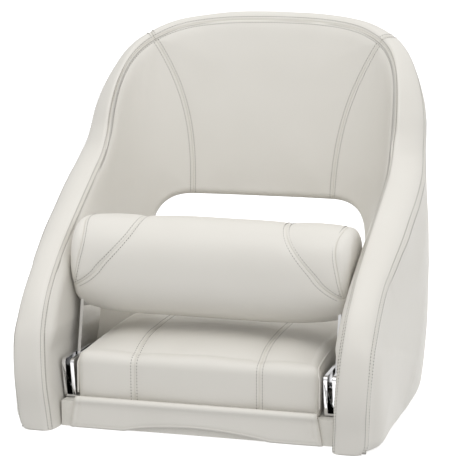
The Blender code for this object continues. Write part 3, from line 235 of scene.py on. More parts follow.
APRON_ARCH = 0.012
APRON_HEM = 0.009
APRON_FOOT_HEM = 0.0045
APRON_ROLL = 0.011
APRON_ROLL_RISE = 0.0022
APRON_EDGE_ROLL = 0.0022
APRON_FOOT_ROLL = 0.0020
APRON_FOOT_ROLL_REACH = 0.0016
APRON_HEM_DENT = 0.0010
APRON_FOOT_DENT = 0.0006
APRON_WAVE = 0.0007
APRON_WAVE_SCALE = 0.05
APRON_GAP = 0.0003
BOLSTER_BACK = 0.130
BOLSTER_UP = 0.2395
BOLSTER_HALF_DEPTH = 0.069
BOLSTER_HALF_TALL = 0.078
BOLSTER_POWER = 2.3
BOLSTER_END_RISE = 0.016
BOLSTER_END_SLIM = 0.003
BOLSTER_HALF = 0.225
BOLSTER_DOME = 0.016
BOLSTER_SEAM_IN = 0.118
BOLSTER_SEAM_RUN = 0.103
BOLSTER_SEAM_TOP = 0.323
BOLSTER_SEAM_TALL = 0.121
BOLSTER_CAP_AT = 0.211
BOLSTER_CAP_BOW = 0.009
BOLSTER_END_CAP = 0.052
BOLSTER_CELL = 0.0055
BOLSTER_BORDER_STEPS = (0.005, 0.006)
BOLSTER_JOIN = 0.004
BOLSTER_END_TALL = 0.006
BOLSTER_END_LEVEL = 0.002
BOLSTER_END_HALF = 0.03
BOLSTER_WAVE = 0.0016
BOLSTER_WAVE_SCALE = 0.09
BOLSTER_PUFF = 0.0012
BOLSTER_PUFF_REACH = 0.04
BOLSTER_END_PUFF = 0.0025
BOLSTER_END_REACH = 0.03
BOLSTER_DIMPLE = 0.0016
BOLSTER_DIMPLE_AT = (0.178, -0.045)
BOLSTER_DIMPLE_SIZE = (0.006, 0.02)


# Lines on the flat sheet

def smooth_line(points, steps):
    """Points of a Catmull-Rom curve through the given points."""
    ends = [points[0]] + list(points) + [points[-1]]
    line = []
    for a, b, c, d in zip(ends, ends[1:], ends[2:], ends[3:]):
        for k in range(steps):
            t = k / steps
            line.append(tuple(
                0.5 * (2 * q + (r - p) * t + (2 * p - 5 * q + 4 * r - u) * t ** 2
                       + (3 * q - p - 3 * r + u) * t ** 3)
                for p, q, r, u in zip(a, b, c, d)))
    line.append(tuple(points[-1]))
    return line


def rounded(points, radii, steps):
    """A closed outline with each corner rounded by a quadratic curve."""
    line = []
    count = len(points)
    for k, (corner, radius) in enumerate(zip(points, radii)):
        corner = Vector(corner)
        if radius == 0:
            line.append(tuple(corner))
            continue
        before = (Vector(points[k - 1]) - corner).normalized() * radius + corner
        after = (Vector(points[(k + 1) % count]) - corner).normalized() * radius + corner
        for j in range(steps + 1):
            t = j / steps
            line.append(tuple(before * (1 - t) ** 2 + corner * 2 * t * (1 - t) + after * t ** 2))
    return line


def places_along(line):
    """How far along a line each of its points is."""
    return np.concatenate([[0], np.cumsum(np.linalg.norm(np.diff(line, axis=0), axis=1))])


def evenly(line, spacing=SPACING):
    """The line with points at equal steps, its ends kept."""
    line = np.array(line, float)
    lengths = places_along(line)
    count = max(2, int(round(lengths[-1] / spacing)) + 1)
    places = np.linspace(0, lengths[-1], count)
    return np.stack([np.interp(places, lengths, line[:, k]) for k in range(line.shape[1])], 1)


def join(*lines):
    """Lines set end to end as one closed outline, without their shared points."""
    return np.concatenate([line[:-1] for line in lines])


def closed(loop):
    return np.concatenate([loop, loop[:1]])


def flipped(line):
    """The same line on the other half of the sheet."""
    return line * np.array([-1.0, 1.0])


def sideways(line):
    """Unit vectors to the left of a line's travel, at each point."""
    along = np.gradient(line, axis=0)
    along /= np.linalg.norm(along, axis=1)[:, None]
    return np.stack([-along[:, 1], along[:, 0]], 1)


def nearest(points, line):
    """Distance from each point to a line, and how far along the line the nearest place is."""
    points = np.asarray(points, float)
    start = line[:-1]
    step = line[1:] - start
    squared = np.maximum((step ** 2).sum(1), 1e-18)
    reach = np.concatenate([[0], np.cumsum(np.sqrt(squared))])[:-1]
    distances = np.empty(len(points))
    places = np.empty(len(points))
    for low in range(0, len(points), 2000):
        part = points[low:low + 2000]
        offset = part[:, None, :] - start[None]
        t = np.clip((offset * step[None]).sum(2) / squared, 0, 1)
        gap = ((offset - t[..., None] * step[None]) ** 2).sum(2)
        best = gap.argmin(1)
        rows = np.arange(len(part))
        distances[low:low + 2000] = np.sqrt(gap[rows, best])
        places[low:low + 2000] = reach[best] + t[rows, best] * np.sqrt(squared[best])
    return distances, places


def nearest_of(points, lines):
    """Distance to the closest of several lines, and the place along that line."""
    found = [nearest(points, line) for line in lines]
    distances = np.stack([distance for distance, place in found])
    places = np.stack([place for distance, place in found])
    best = distances.argmin(0)
    rows = np.arange(distances.shape[1])
    return distances[best, rows], places[best, rows]


def inside(points, loops):
    """Whether each point lies within the outlines, by counting crossings."""
    odd = np.zeros(len(points), bool)
    for loop in loops:
        for (ax, ay), (bx, by) in zip(loop, np.roll(loop, -1, axis=0)):
            if ay == by:
                continue
            spans = (ay > points[:, 1]) != (by > points[:, 1])
            cross = ax + (points[:, 1] - ay) * (bx - ax) / (by - ay)
            odd ^= spans & (points[:, 0] < cross)
    return odd


def beside(distance, reach):
    """1 on a line, and close to 0 from twice the reach away."""
    return np.exp(-(distance / reach) ** 2)


# The wall's bend

def corner_table():
    """Runs and unit places along the back corner of the plan curve, at its widest level."""
    turn = np.linspace(0, math.pi / 2, 4001)
    across = np.sin(turn) ** (2 / CORNER_POWER)
    along = np.cos(turn) ** (2 / CORNER_POWER)
    steps = np.hypot(np.diff(INNER_HALF_TOP * across), np.diff(CORNER_DEPTH * along))
    return np.concatenate([[0], np.cumsum(steps)]), across, along


CORNER_RUNS, CORNER_ACROSS, CORNER_ALONG = corner_table()
CORNER_RUN = float(CORNER_RUNS[-1])


def side_start(height):
    """Where the straight side of the plan curve meets the back corner."""
    return BACK_INSIDE_FLOOR + height * math.tan(BACK_LEAN) - CORNER_DEPTH


def table(shares, value):
    """A smooth value read from a table of shares."""
    line = np.array(smooth_line(shares, 12))
    return np.interp(value, line[:, 0], line[:, 1])


def wall_share(run, height):
    """Thickness of the wall as a share of the arm's, fuller round the lower back corners."""
    up = height / SEAM_HEIGHT
    full = table(FULL_WALL_SHARES, up) * table(FULL_RUN_SHARES, np.abs(run) / CORNER_RUN)
    return table(EDGE_WALL_SHARES, up) + full


def bent(run, height, depth):
    """From the flat sheet to the wall, in the world's frame. Towards its outer side, the wall's
    edge falls away below the rim line."""
    run, height, depth = np.broadcast_arrays(*(np.asarray(value, float)
                                               for value in (run, height, depth)))
    side = np.where(run < 0, -1.0, 1.0)
    found = nearest(np.stack([np.abs(run).ravel(), height.ravel()], 1), RIM)
    gap, place = (values.reshape(run.shape) for values in found)
    level = np.interp(place, RIM_PLACES, RIM[:, 1]) / SEAM_HEIGHT
    pull = beside(gap, EDGE_FADE) * np.clip(depth / ARM_WALL, 0, 1) ** 3
    drop = ARM_WALL * table(EDGE_DROP_SHARES, level) * pull
    out = np.maximum(np.abs(run) - drop * np.interp(place, RIM_PLACES, RIM_OUT[:, 0]), 0)
    height = height - drop * np.interp(place, RIM_PLACES, RIM_OUT[:, 1])
    share = np.minimum(height / FLARE_HEIGHT, 1)
    half = INNER_HALF_FLOOR + (INNER_HALF_TOP - INNER_HALF_FLOOR) * (4 * share - share ** 4) / 3
    across = np.interp(out, CORNER_RUNS, CORNER_ACROSS)
    along = np.interp(out, CORNER_RUNS, CORNER_ALONG)
    out_x = across ** (CORNER_POWER - 1) / half
    out_y = along ** (CORNER_POWER - 1) / CORNER_DEPTH
    length = np.hypot(out_x, out_y)
    out_x, out_y = out_x / length, out_y / length
    out_y = out_y + table(WALL_LEAN_SHARES, height / SEAM_HEIGHT)
    wide = ARM_WALL * table(EDGE_WIDTH_SHARES, level) * pull
    offset = (depth * wall_share(out, height) + wide) / np.hypot(out_x, out_y)
    rear = side_start(height) + CORNER_DEPTH * along - np.maximum(out - CORNER_RUN, 0)
    return np.stack([side * (half * across + offset * out_x),
                     rear + offset * out_y - PEDESTAL_DISTANCE, height], -1)


ARM_REACH = CORNER_RUN + side_start(SEAM_HEIGHT * ARM_WIDEST_SHARE) + FRONT_SEAM
RIM = np.array(smooth_line([(ARM_REACH * s, SEAM_HEIGHT * t) for s, t in RIM_SHARES], 16))
RIM_PLACES = places_along(RIM)
RIM_OUT = sideways(RIM)
TOP_CORNER = int(TOP_CORNER_SHARE * 38) * 8
OUTER_CORNER = int(OUTER_SEAM_SHARE * 38) * 8


def opening_line(shrink):
    """Half of the lumbar opening's outline, from the middle of its top to that of its foot."""
    corners = [(0, OPENING_TOP - shrink), (OPENING_HALF_TOP - shrink, OPENING_TOP - shrink),
               (OPENING_HALF_FOOT - shrink, OPENING_FOOT + shrink), (0, OPENING_FOOT + shrink)]
    radius = OPENING_CORNER - shrink / 2
    return np.array(rounded(corners, [0, radius, radius, 0], 16))


def back_seam(foot):
    """The seam between the back panel and a side panel, from the opening up to the rim."""
    top = RIM[TOP_CORNER]
    t = np.linspace(0, 1, 60)
    run = BACK_SEAM_FOOT + (top[0] - BACK_SEAM_FOOT) * t ** BACK_SEAM_SWEEP
    return np.stack([run, foot + (top[1] - foot) * t], 1)


# Meshes

def placed(name, data):
    """A new object in the scene, made of the data."""
    item = bpy.data.objects.new(name, data)
    bpy.context.scene.collection.objects.link(item)
    return item


def shown(name, mesh, material):
    """A smooth piece of one material, made of the mesh."""
    piece = placed(name, mesh)
    mesh.materials.clear()
    mesh.materials.append(material)
    mesh.shade_smooth()
    return piece


def plain_mesh(name, positions, faces):
    mesh = bpy.data.meshes.new(name)
    mesh.from_pydata([tuple(p) for p in positions], [], [tuple(map(int, f)) for f in faces])
    return mesh


def mesh_piece(name, mesh, material):
    """A piece made of a closed mesh, with its faces turned outwards."""
    bm = bmesh.new()
    bm.from_mesh(mesh)
    bmesh.ops.recalc_face_normals(bm, faces=bm.faces)
    if bm.calc_volume(signed=True) < 0:
        bmesh.ops.reverse_faces(bm, faces=bm.faces)
    bm.to_mesh(mesh)
    bm.free()
    return shown(name, mesh, material)


def taken(host):
    """The mesh that an object makes. The object itself goes."""
    view = bpy.context.evaluated_depsgraph_get()
    mesh = bpy.data.meshes.new_from_object(host.evaluated_get(view))
    bpy.data.objects.remove(host)
    return mesh


def store(piece, name, values):
    """Keeps a value for each point of a piece, for its material to read."""
    layer = piece.data.attributes.new(name, "FLOAT", "POINT")
    layer.data.foreach_set("value", np.asarray(values, np.float32))


def fill(loops, seams, cell=CELL):
    """Points and triangles that fill flat outlines, with rings of points beside the seams."""
    lines = [closed(loop) for loop in loops] + list(seams)
    rings = []
    for line in lines:
        across = sideways(line)
        for offset in RING_OFFSETS:
            for side in (-1, 1):
                ring = line + across * offset * side
                gap, place = nearest_of(ring, lines)
                rings.append(ring[gap > offset * 0.93])
    rings = np.concatenate(rings)
    low = loops[0].min(0)
    high = loops[0].max(0)
    columns, rows = np.meshgrid(np.arange(low[0], high[0], cell),
                                np.arange(low[1], high[1], cell * 0.87))
    columns = columns + (np.arange(columns.shape[0]) % 2)[:, None] * cell / 2
    grid = np.stack([columns.ravel(), rows.ravel()], 1)
    gap, place = nearest_of(grid, lines)
    grid = grid[gap > RING_OFFSETS[-1] + cell * 0.4]
    free = np.concatenate([rings, grid])
    free = free[inside(free, loops)]
    free = apart(free, SPACING * 0.28)
    points = [tuple(point) for line in lines for point in line] + [tuple(p) for p in free]
    edges = []
    first = 0
    for line in lines:
        edges += [(first + k, first + k + 1) for k in range(len(line) - 1)]
        first += len(line)
    verts, edges, triangles = delaunay_2d_cdt([Vector(p) for p in points], edges, [], 0,
                                              MERGE)[:3]
    flat = np.array([tuple(v) for v in verts])
    triangles = np.array([t for t in triangles if len(t) == 3])
    middle = flat[triangles].mean(1)
    triangles = triangles[inside(middle, loops)]
    used = np.unique(triangles)
    places = np.full(len(flat), -1)
    places[used] = np.arange(len(used))
    return flat[used], places[triangles]


def apart(points, least):
    """The points with those that share a small cell with an earlier one left out."""
    cells = np.floor(points / least).astype(np.int64)
    keep = np.unique(cells[:, 0] * 1000003 + cells[:, 1], return_index=True)[1]
    return points[np.sort(keep)]


def border_edges(triangles):
    """Edges used by one triangle only, in that triangle's direction."""
    edges = np.concatenate([triangles[:, [0, 1]], triangles[:, [1, 2]], triangles[:, [2, 0]]])
    ordered = np.sort(edges, 1)
    keys = ordered[:, 0] * 10000019 + ordered[:, 1]
    values, first, counts = np.unique(keys, return_index=True, return_counts=True)
    return edges[first[counts == 1]]


def pad(name, front, back, triangles, material, creases):
    """A closed pad: a shaped front and a plain back with the same triangles, joined round the
    border."""
    count = len(front)
    border = border_edges(triangles)
    walls = np.stack([border[:, 1], border[:, 0], border[:, 0] + count, border[:, 1] + count], 1)
    faces = [*triangles, *(triangles[:, ::-1] + count), *walls]
    mesh = plain_mesh(name, np.concatenate([front, back]), faces)
    piece = mesh_piece(name, mesh, material)
    # The crease values, the same on both faces, set the painted shade along the seams.
    store(piece, "crease", np.concatenate([creases, creases]))
    return piece


def padded_sheet(name, flat, triangles, front, back, material, creases):
    """A pad of the wall, from its outline on the sheet and the depths of its two faces."""
    run, height = flat[:, 0], flat[:, 1]
    return pad(name, bent(run, height, front), bent(run, height, back), triangles, material,
               creases)


# Form of the upholstery

def seam_depth(distance, place, share=1.0):
    """How far the cover lies below its plain face beside a seam: a sharp crease, a row of
    stitches pulled tight, and the padding rolling over."""
    pull = 1 + PULL * np.sin(place / PULL_WAVES[0] + np.sin(place / PULL_WAVES[1]) * 2)
    crease = CREASE * beside(distance, CREASE_REACH)
    row = ROW_DENT * beside(distance - ROW_OFFSET, ROW_WIDTH)
    roll = ROLL * pull * np.exp(-(distance / ROLL_REACH) ** 1.6)
    return crease + row + roll * share


# How much painted shade the vinyl takes beside a seam, where its fold lies in shade.
def crease_shade_mask(distance):
    return beside(distance, CREASE_REACH * 1.5)


def ripples(points, scale, seed):
    """Gentle uneven swelling of the padding, its scale one length or one for each direction."""
    long, wide = np.broadcast_to(scale, 2)
    return np.array([noise.noise(Vector((p[0] / long, p[1] / wide, seed))) for p in points])


def rolled_off(distance, reach):
    """Share by which a face has rolled away within a reach of its edge, along a quarter circle."""
    return 1 - np.sqrt(1 - np.clip(1 - distance / reach, 0, 1) ** 2)


def hinge_room(points):
    """Where the side panels lie flat behind the hinge brackets, from 0 to 1."""
    forward = np.abs(points[:, 0]) - CORNER_RUN - side_start(HINGE_LEVEL)
    return (np.clip((forward + HINGE_BEHIND) / HINGE_FADE, 0, 1)
            * np.clip((HINGE_ABOVE - points[:, 1]) / HINGE_FADE, 0, 1))


def edge_roll(height):
    """How far the inner face falls back where it reaches the rim, at a height of the rim."""
    return ARM_WALL * table(EDGE_ROLL_SHARES, height / SEAM_HEIGHT)


def seam_inset(height):
    """Distance of the rim's inner seam past the rim line, across the band."""
    return table(SEAM_INSET_SHARES, height / SEAM_HEIGHT)


def rim_gap(points, rim):
    """Distance to the rim line, the place along it and the rim's height there."""
    edge, place = nearest(points, rim)
    return edge, place, np.interp(place, places_along(rim), rim[:, 1])


def inner_depth(points, seams, rim, opening):
    """Depth of the inner cover's face on the sheet, negative where it stands proud."""
    seam, place = nearest_of(points, seams)
    hole = nearest(points, opening)[0]
    edge, along, level = rim_gap(points, rim)
    depth = np.maximum(seam_depth(seam, place) * np.clip(edge / END_TAPER, 0, 1),
                       seam_depth(edge + seam_inset(level), along))
    depth += edge_roll(level) * rolled_off(edge, ROLL_WIDTH)
    depth += OPENING_ROLL * rolled_off(hole, OPENING_ROLL)
    near = np.minimum(np.minimum(seam, hole), edge)
    swell = PANEL_PUFF * (1 - beside(near, PANEL_PUFF_REACH))
    swell += (ARM_PUFF * table(ARM_PUFF_SHARES, level / SEAM_HEIGHT)
              * (1 - beside(edge, ARM_PUFF_FROM)) * beside(edge, ARM_PUFF_REACH))
    depth -= swell * (1 - hinge_room(points))
    depth += HINGE_HOLLOW * hinge_room(points)
    depth -= WAVE * ripples(points, WAVE_SCALE, 1.7) * (1 - beside(near, WAVE_REACH))
    gathers = np.maximum(ripples(points, GATHER_SCALE, 5.1), 0)
    depth += GATHER * gathers * beside(hole, GATHER_REACH)
    return depth


def outer_depth(points, seams, rim, opening):
    """Depth of the outer cover's face on the sheet, rolled under at the floor."""
    seam, place = nearest_of(points, seams)
    hole = nearest(points, opening)[0]
    edge, along, level = rim_gap(points, rim)
    depth = ARM_WALL - np.maximum(seam_depth(seam, place) * np.clip(edge / END_TAPER, 0, 1),
                                  seam_depth(edge + OUTER_INSET, along))
    depth -= OPENING_ROLL * rolled_off(hole, OPENING_ROLL)
    near = np.minimum(np.minimum(np.minimum(seam, hole), edge), points[:, 1] + FLOOR_MARGIN)
    depth += OUTER_PUFF * (1 - beside(near, OUTER_PUFF_REACH))
    depth += (OUTER_WAVE * ripples(points, OUTER_WAVE_SCALE, 9.3)
              * (1 - beside(near, WAVE_REACH)))
    depth += (FOOT_SWELL * (1 - beside(edge, FOOT_SWELL_FROM)) * beside(edge, FOOT_SWELL_REACH)
              * np.clip(1 - level / FOOT_SWELL_HEIGHT, 0, 1) ** 0.7)
    fold = np.abs(np.abs(points[:, 0]) - SIDE_FOLD_RUN - SIDE_FOLD_LEAN * points[:, 1])
    deep = (SIDE_FOLD_DEPTH * beside(fold, SIDE_FOLD_WIDTH)
            - SIDE_FOLD_RIDGE * beside(fold - SIDE_FOLD_RIDGE_AT, SIDE_FOLD_RIDGE_AT))
    depth -= deep * np.clip((SIDE_FOLD_TOP - points[:, 1]) / SIDE_FOLD_FADE, 0, 1)
    return depth - under_roll(points[:, 0], points[:, 1])


def under_roll(run, height):
    """How far the outer cover tucks in towards the floor, more so at the back's corners."""
    high = np.clip(1 - height / CORNER_TUCK, 0, 1)
    share = table(TUCK_RUN_SHARES, np.abs(run) / CORNER_RUN)
    return UNDER_EDGE * (rolled_off(height, UNDER_EDGE) * (1 - share) + high ** 1.6 * share)


def band_section():
    """Places across the band's face: rise, depth, distance to its nearer edge, and distance
    along the face from the inner edge."""
    share = (1 - np.cos(np.linspace(0, math.pi, 61))) / 2
    depth = share * ARM_WALL
    turn = np.clip(np.minimum(share, 1 - share) * ARM_WALL / BAND_CORNER, 0, 1)
    rise = BAND_RISE * np.sqrt(1 - (1 - turn) ** 2.2) + BAND_CROWN * (1 - (2 * share - 1) ** 2)
    steps = np.hypot(np.diff(rise), np.diff(depth))
    along = np.concatenate([[0], np.cumsum(steps)])
    distance = np.minimum(along, along[-1] - along)
    return rise, depth, distance, along


def band_lift(path):
    """How much higher the band's padding stands along the top than on the arms."""
    return 1 + BAND_LIFT * np.clip((path[:, 1] - BAND_LIFT_FROM) / BAND_LIFT_OVER, 0, 1)


def band_surface(path, outwards, place, ends):
    """Points of a band on the sheet for each step of its path, with creases at both seams and,
    where the band is sewn to the next, across its ends."""
    rise, depth, edge, along = band_section()
    distance = np.minimum(np.abs(along - seam_inset(path[:, 1])[:, None]),
                          np.abs(along[-1] - OUTER_INSET - along))
    gap = np.full(len(path), 1.0)
    if ends[0]:
        gap = np.minimum(gap, place)
    if ends[1]:
        gap = np.minimum(gap, place[-1] - place)
    seam = np.minimum(distance, gap[:, None])
    cross = seam_depth(gap, place, 0.25)[:, None] * np.clip(edge / END_TAPER, 0, 1)
    drop = np.maximum(seam_depth(distance, place[:, None]), cross)
    sink = np.where(depth < ARM_WALL / 2, 1, -1)
    slope = np.clip(edge / BAND_CORNER, 0, 1)
    up = rise * band_lift(path)[:, None] - drop * slope
    deep = depth + drop * (1 - slope) * sink
    deep = deep + edge_roll(path[:, 1])[:, None] * (1 - depth / ARM_WALL) ** 3
    wave = np.sin(place / BAND_WAVES[0] + np.sin(place / BAND_WAVES[1]) * 3)
    swell = BAND_WAVE * wave[:, None] * slope
    under = under_roll(path[:, 0], path[:, 1])
    deep = deep - under[:, None] * (depth / ARM_WALL) ** 2
    points = path[:, None] + outwards[:, None] * (up + swell)[..., None]
    return points, deep, seam


def make_band(name, path, outward, ends, material):
    """A rim band over the wall's edge, with a flat underside that rests on the wall."""
    outwards = sideways(path) * outward
    points, deep, seam = band_surface(path, outwards, places_along(path), ends)
    under_deep = np.array([ARM_WALL - PADDING, ARM_WALL / 2, PADDING])
    under = np.repeat((path - outwards * BAND_UNDER)[:, None], 3, 1)
    sheet = np.concatenate([points, under], 1)
    depth = np.concatenate([deep, np.broadcast_to(under_deep, (len(path), 3))], 1)
    # Painted shade along the band's seams, none on its hidden underside.
    creases = np.concatenate([crease_shade_mask(seam), np.zeros((len(path), 3))], 1)
    bm = bmesh.new()
    layer = bm.verts.layers.float.new("crease")
    rows = []
    for places, depths, shares in zip(sheet, depth, creases):
        row = []
        for (run, height), deep_at, crease in zip(places, depths, shares):
            vert = bm.verts.new((run, height, deep_at))
            vert[layer] = crease
            row.append(vert)
        rows.append(row)
    for near, far in zip(rows, rows[1:]):
        for corners in zip(near, near[1:] + near[:1], far[1:] + far[:1], far):
            bm.faces.new(corners)
    bm.faces.new(rows[0])
    bm.faces.new(list(reversed(rows[-1])))
    everything = bm.verts[:] + bm.edges[:] + bm.faces[:]
    cut = bmesh.ops.bisect_plane(bm, geom=everything, dist=MERGE, plane_co=(0, 0, 0),
                                 plane_no=(0, 1, 0), clear_inner=True)
    foot = [item for item in cut["geom_cut"] if isinstance(item, bmesh.types.BMEdge)]
    if foot:
        bmesh.ops.contextual_create(bm, geom=foot)
    places = np.array([tuple(vert.co) for vert in bm.verts])
    for vert, place_at in zip(bm.verts, bent(places[:, 0], places[:, 1], places[:, 2])):
        vert.co = place_at
    mesh = bpy.data.meshes.new(name)
    bm.to_mesh(mesh)
    bm.free()
    return mesh_piece(name, mesh, material)


# Nodes

def feed(tree, node, inputs):
    """Sets a node's inputs, each to a value or to another node's output."""
    for name, value in inputs.items():
        if isinstance(value, bpy.types.NodeSocket):
            tree.links.new(value, node.inputs[name])
        else:
            node.inputs[name].default_value = value


def add(tree, kind, inputs=None, **settings):
    """The outputs of a new node, with its settings made and its inputs fed."""
    node = tree.nodes.new(kind)
    for name, value in settings.items():
        setattr(node, name, value)
    feed(tree, node, inputs or {})
    return node.outputs


# Stitches

ROWS = {"seat": [], "bolster": []}


def stitch_row(body, points, trim=RIM_TRIM):
    """Keeps a line of stitches on the surface for a body, drawn in from its ends."""
    points = np.asarray(points, float)
    place = places_along(points)
    keep = (place >= trim) & (place <= place[-1] - trim)
    if keep.sum() > 2:
        ROWS[body].append(points[keep])


def stitch_tree():
    """A node tree that lays a stitch at each step of a line and sets its material."""
    tree = bpy.data.node_groups.new("stitches", "GeometryNodeTree")
    face = tree.interface
    face.new_socket("Geometry", in_out="INPUT", socket_type="NodeSocketGeometry")
    for label, value in (("Pitch", STITCH_PITCH), ("Length", STITCH_LENGTH),
                         ("Radius", STITCH_RADIUS)):
        socket = face.new_socket(label, in_out="INPUT", socket_type="NodeSocketFloat")
        socket.default_value = value
    face.new_socket("Material", in_out="INPUT", socket_type="NodeSocketMaterial")
    face.new_socket("Geometry", in_out="OUTPUT", socket_type="NodeSocketGeometry")
    given = add(tree, "NodeGroupInput")
    curve = add(tree, "GeometryNodeMeshToCurve", {"Mesh": given["Geometry"]})["Curve"]
    even = add(tree, "GeometryNodeResampleCurve", {"Curve": curve, "Length": given["Pitch"]},
               mode="LENGTH")["Curve"]
    ball = add(tree, "GeometryNodeMeshUVSphere", {"Segments": 6, "Rings": 5, "Radius": 1.0})
    half = add(tree, "ShaderNodeMath", {0: given["Length"], 1: 0.5}, operation="MULTIPLY")[0]
    size = add(tree, "ShaderNodeCombineXYZ",
               {"X": given["Radius"], "Y": given["Radius"], "Z": half})[0]
    stitch = add(tree, "GeometryNodeTransform", {"Geometry": ball["Mesh"], "Scale": size})
    tangent = add(tree, "GeometryNodeInputTangent")[0]
    turn = add(tree, "FunctionNodeAlignRotationToVector", {"Vector": tangent}, axis="Z")
    lay = add(tree, "GeometryNodeInstanceOnPoints",
              {"Points": even, "Instance": stitch["Geometry"], "Rotation": turn["Rotation"]})
    real = add(tree, "GeometryNodeRealizeInstances", {"Geometry": lay["Instances"]})
    finish = add(tree, "GeometryNodeSetMaterial",
                 {"Geometry": real["Geometry"], "Material": given["Material"]})
    smooth = add(tree, "GeometryNodeSetShadeSmooth", {"Geometry": finish["Geometry"]})
    add(tree, "NodeGroupOutput", {"Geometry": smooth["Geometry"]})
    return tree


def sew(name, body, tree, thread):
    """Turns a body's rows into one mesh of stitches."""
    positions = []
    edges = []
    for row in ROWS[body]:
        first = len(positions)
        positions += [tuple(p) for p in row]
        edges += [(first + k, first + k + 1) for k in range(len(row) - 1)]
    guide = bpy.data.meshes.new(name)
    guide.from_pydata(positions, edges, [])
    host = placed(name, guide)
    step = host.modifiers.new("stitches", "NODES")
    step.node_group = tree
    for item in tree.interface.items_tree:
        if item.in_out == "INPUT" and item.name == "Material":
            step[item.identifier] = thread
    return placed(name, taken(host))


# Materials

def speckle(tree, place, scale, detail):
    return add(tree, "ShaderNodeTexNoise",
               {"Vector": place, "Scale": scale, "Detail": detail})["Fac"]


def mapped(tree, value, low, high):
    """A value from 0 to 1 spread between two others."""
    return add(tree, "ShaderNodeMapRange",
               {"Value": value, "To Min": low, "To Max": high})["Result"]


def mixed(tree, share, first, second):
    """Two colours mixed by a share."""
    return add(tree, "ShaderNodeMix", {"Factor": share, "A": first, "B": second},
               data_type="RGBA")["Result"]


def bumped(tree, height, strength, distance):
    return add(tree, "ShaderNodeBump",
               {"Strength": strength, "Distance": distance, "Height": height})["Normal"]


def new_material(name, roughness, metallic=0.0):
    material = bpy.data.materials.new(name)
    material.use_nodes = True
    tree = material.node_tree
    shader = tree.nodes["Principled BSDF"]
    feed(tree, shader, {"Roughness": roughness, "Metallic": metallic})
    return material, tree, shader


def grain_group():
    """Fine leather grain: pebbles and pores, with a little uneven shine and tone."""
    group = bpy.data.node_groups.new("vinyl_grain", "ShaderNodeTree")
    face = group.interface
    scale = face.new_socket("Scale", in_out="INPUT", socket_type="NodeSocketFloat")
    scale.default_value = GRAIN_SCALE
    for label in ("Height", "Shine", "Tone"):
        face.new_socket(label, in_out="OUTPUT", socket_type="NodeSocketFloat")
    given = add(group, "NodeGroupInput")
    place = add(group, "ShaderNodeTexCoord")["Object"]
    pebbles = add(group, "ShaderNodeTexVoronoi",
                  {"Vector": place, "Scale": given["Scale"], "Smoothness": 0.7},
                  feature="SMOOTH_F1")["Distance"]
    pores = speckle(group, place, 2400.0, 2.0)
    height = add(group, "ShaderNodeMath", {0: pores, 1: 0.35, 2: pebbles},
                 operation="MULTIPLY_ADD")[0]
    add(group, "NodeGroupOutput", {"Height": height, "Shine": speckle(group, place, 45.0, 4.0),
                                   "Tone": speckle(group, place, 9.0, 3.0)})
    return group


def vinyl_material(name, light, dark, crease):
    """Marine vinyl: a warm white skin with fine grain, and painted shade in its seams' creases."""
    material, tree, shader = new_material(name, 0.45)
    skin = add(tree, "ShaderNodeGroup", {"Scale": GRAIN_SCALE}, node_tree=grain_group())
    # The crease attribute mixes in the crease colour: painted shade along the seams.
    fold = add(tree, "ShaderNodeAttribute", attribute_name="crease")["Fac"]
    tone = mixed(tree, skin["Tone"], dark, light)
    feed(tree, shader, {"Base Color": mixed(tree, mapped(tree, fold, 0.0, 0.75), tone, crease),
                        "Roughness": mapped(tree, skin["Shine"], 0.38, 0.52),
                        "Specular IOR Level": 0.45,
                        "Normal": bumped(tree, skin["Height"], 0.22, 0.0004)})
    return material


def mottled(name, light, dark, gloss, scale, detail, relief, stretch=None, metallic=0.0):
    """A material whose colour, roughness and relief follow one noise, stretched along its grain
    where it has one: steel, plastic, board and thread."""
    material, tree, shader = new_material(name, gloss[0], metallic)
    place = add(tree, "ShaderNodeTexCoord")["Object"]
    if stretch:
        place = add(tree, "ShaderNodeMapping", {"Scale": stretch, "Vector": place})["Vector"]
    shade = speckle(tree, place, scale, detail)
    feed(tree, shader, {"Base Color": mixed(tree, shade, dark, light),
                        "Roughness": mapped(tree, shade, *gloss),
                        "Normal": bumped(tree, shade, *relief)})
    return material


# Pieces of the wrap

def dress(piece, body, nodes):
    """Sets a piece on its body, in place of the nodes that it stands for."""
    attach(piece, body)
    if nodes:
        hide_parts(*nodes)


def seam_gap(points, seams, rim):
    """Distance to the closest seam, the rim's inner one among them."""
    edge, along, level = rim_gap(points, rim)
    return np.minimum(nearest_of(points, seams)[0], edge + seam_inset(level))


def proud(deep):
    """A depth moved a little off the face that it lies on, so that the thread stands on it."""
    return deep + np.where(deep < ARM_WALL / 2, -STITCH_LIFT, STITCH_LIFT)


def panel_row(line, offset, depth_of):
    """A row of stitches on a panel beside a seam, on the side that the offset gives."""
    row = line + sideways(line) * offset
    return bent(row[:, 0], row[:, 1], proud(depth_of(row)))


def rim_row(line, at, depth_of):
    """A row of stitches along the rim, at distances across the band from the rim line, or below
    the line on the panel where they are negative."""
    rise, depth, edge, along = band_section()
    slope = np.clip(np.interp(at, along, edge) / BAND_CORNER, 0, 1)
    dent = seam_depth(ROW_OFFSET, 0.0) - STITCH_LIFT
    deep = np.interp(at, along, depth)
    sink = np.where(deep < ARM_WALL / 2, 1, -1)
    up = np.interp(at, along, rise) * band_lift(line) - dent * slope
    deep = deep + dent * (1 - slope) * sink
    deep = deep + edge_roll(line[:, 1]) * (1 - deep / ARM_WALL) ** 3
    deep = deep - under_roll(line[:, 0], line[:, 1]) * (deep / ARM_WALL) ** 2
    up = np.where(at < 0, at, up)
    row = line + sideways(line) * up[:, None]
    deep = np.where(at < 0, proud(depth_of(row)), deep)
    return bent(row[:, 0], row[:, 1], deep)


def outer_row(line, below, depth_of):
    """A row of stitches on the outer cover, a distance below the rim line."""
    row = line - sideways(line) * below
    return bent(row[:, 0], row[:, 1], proud(depth_of(row)))


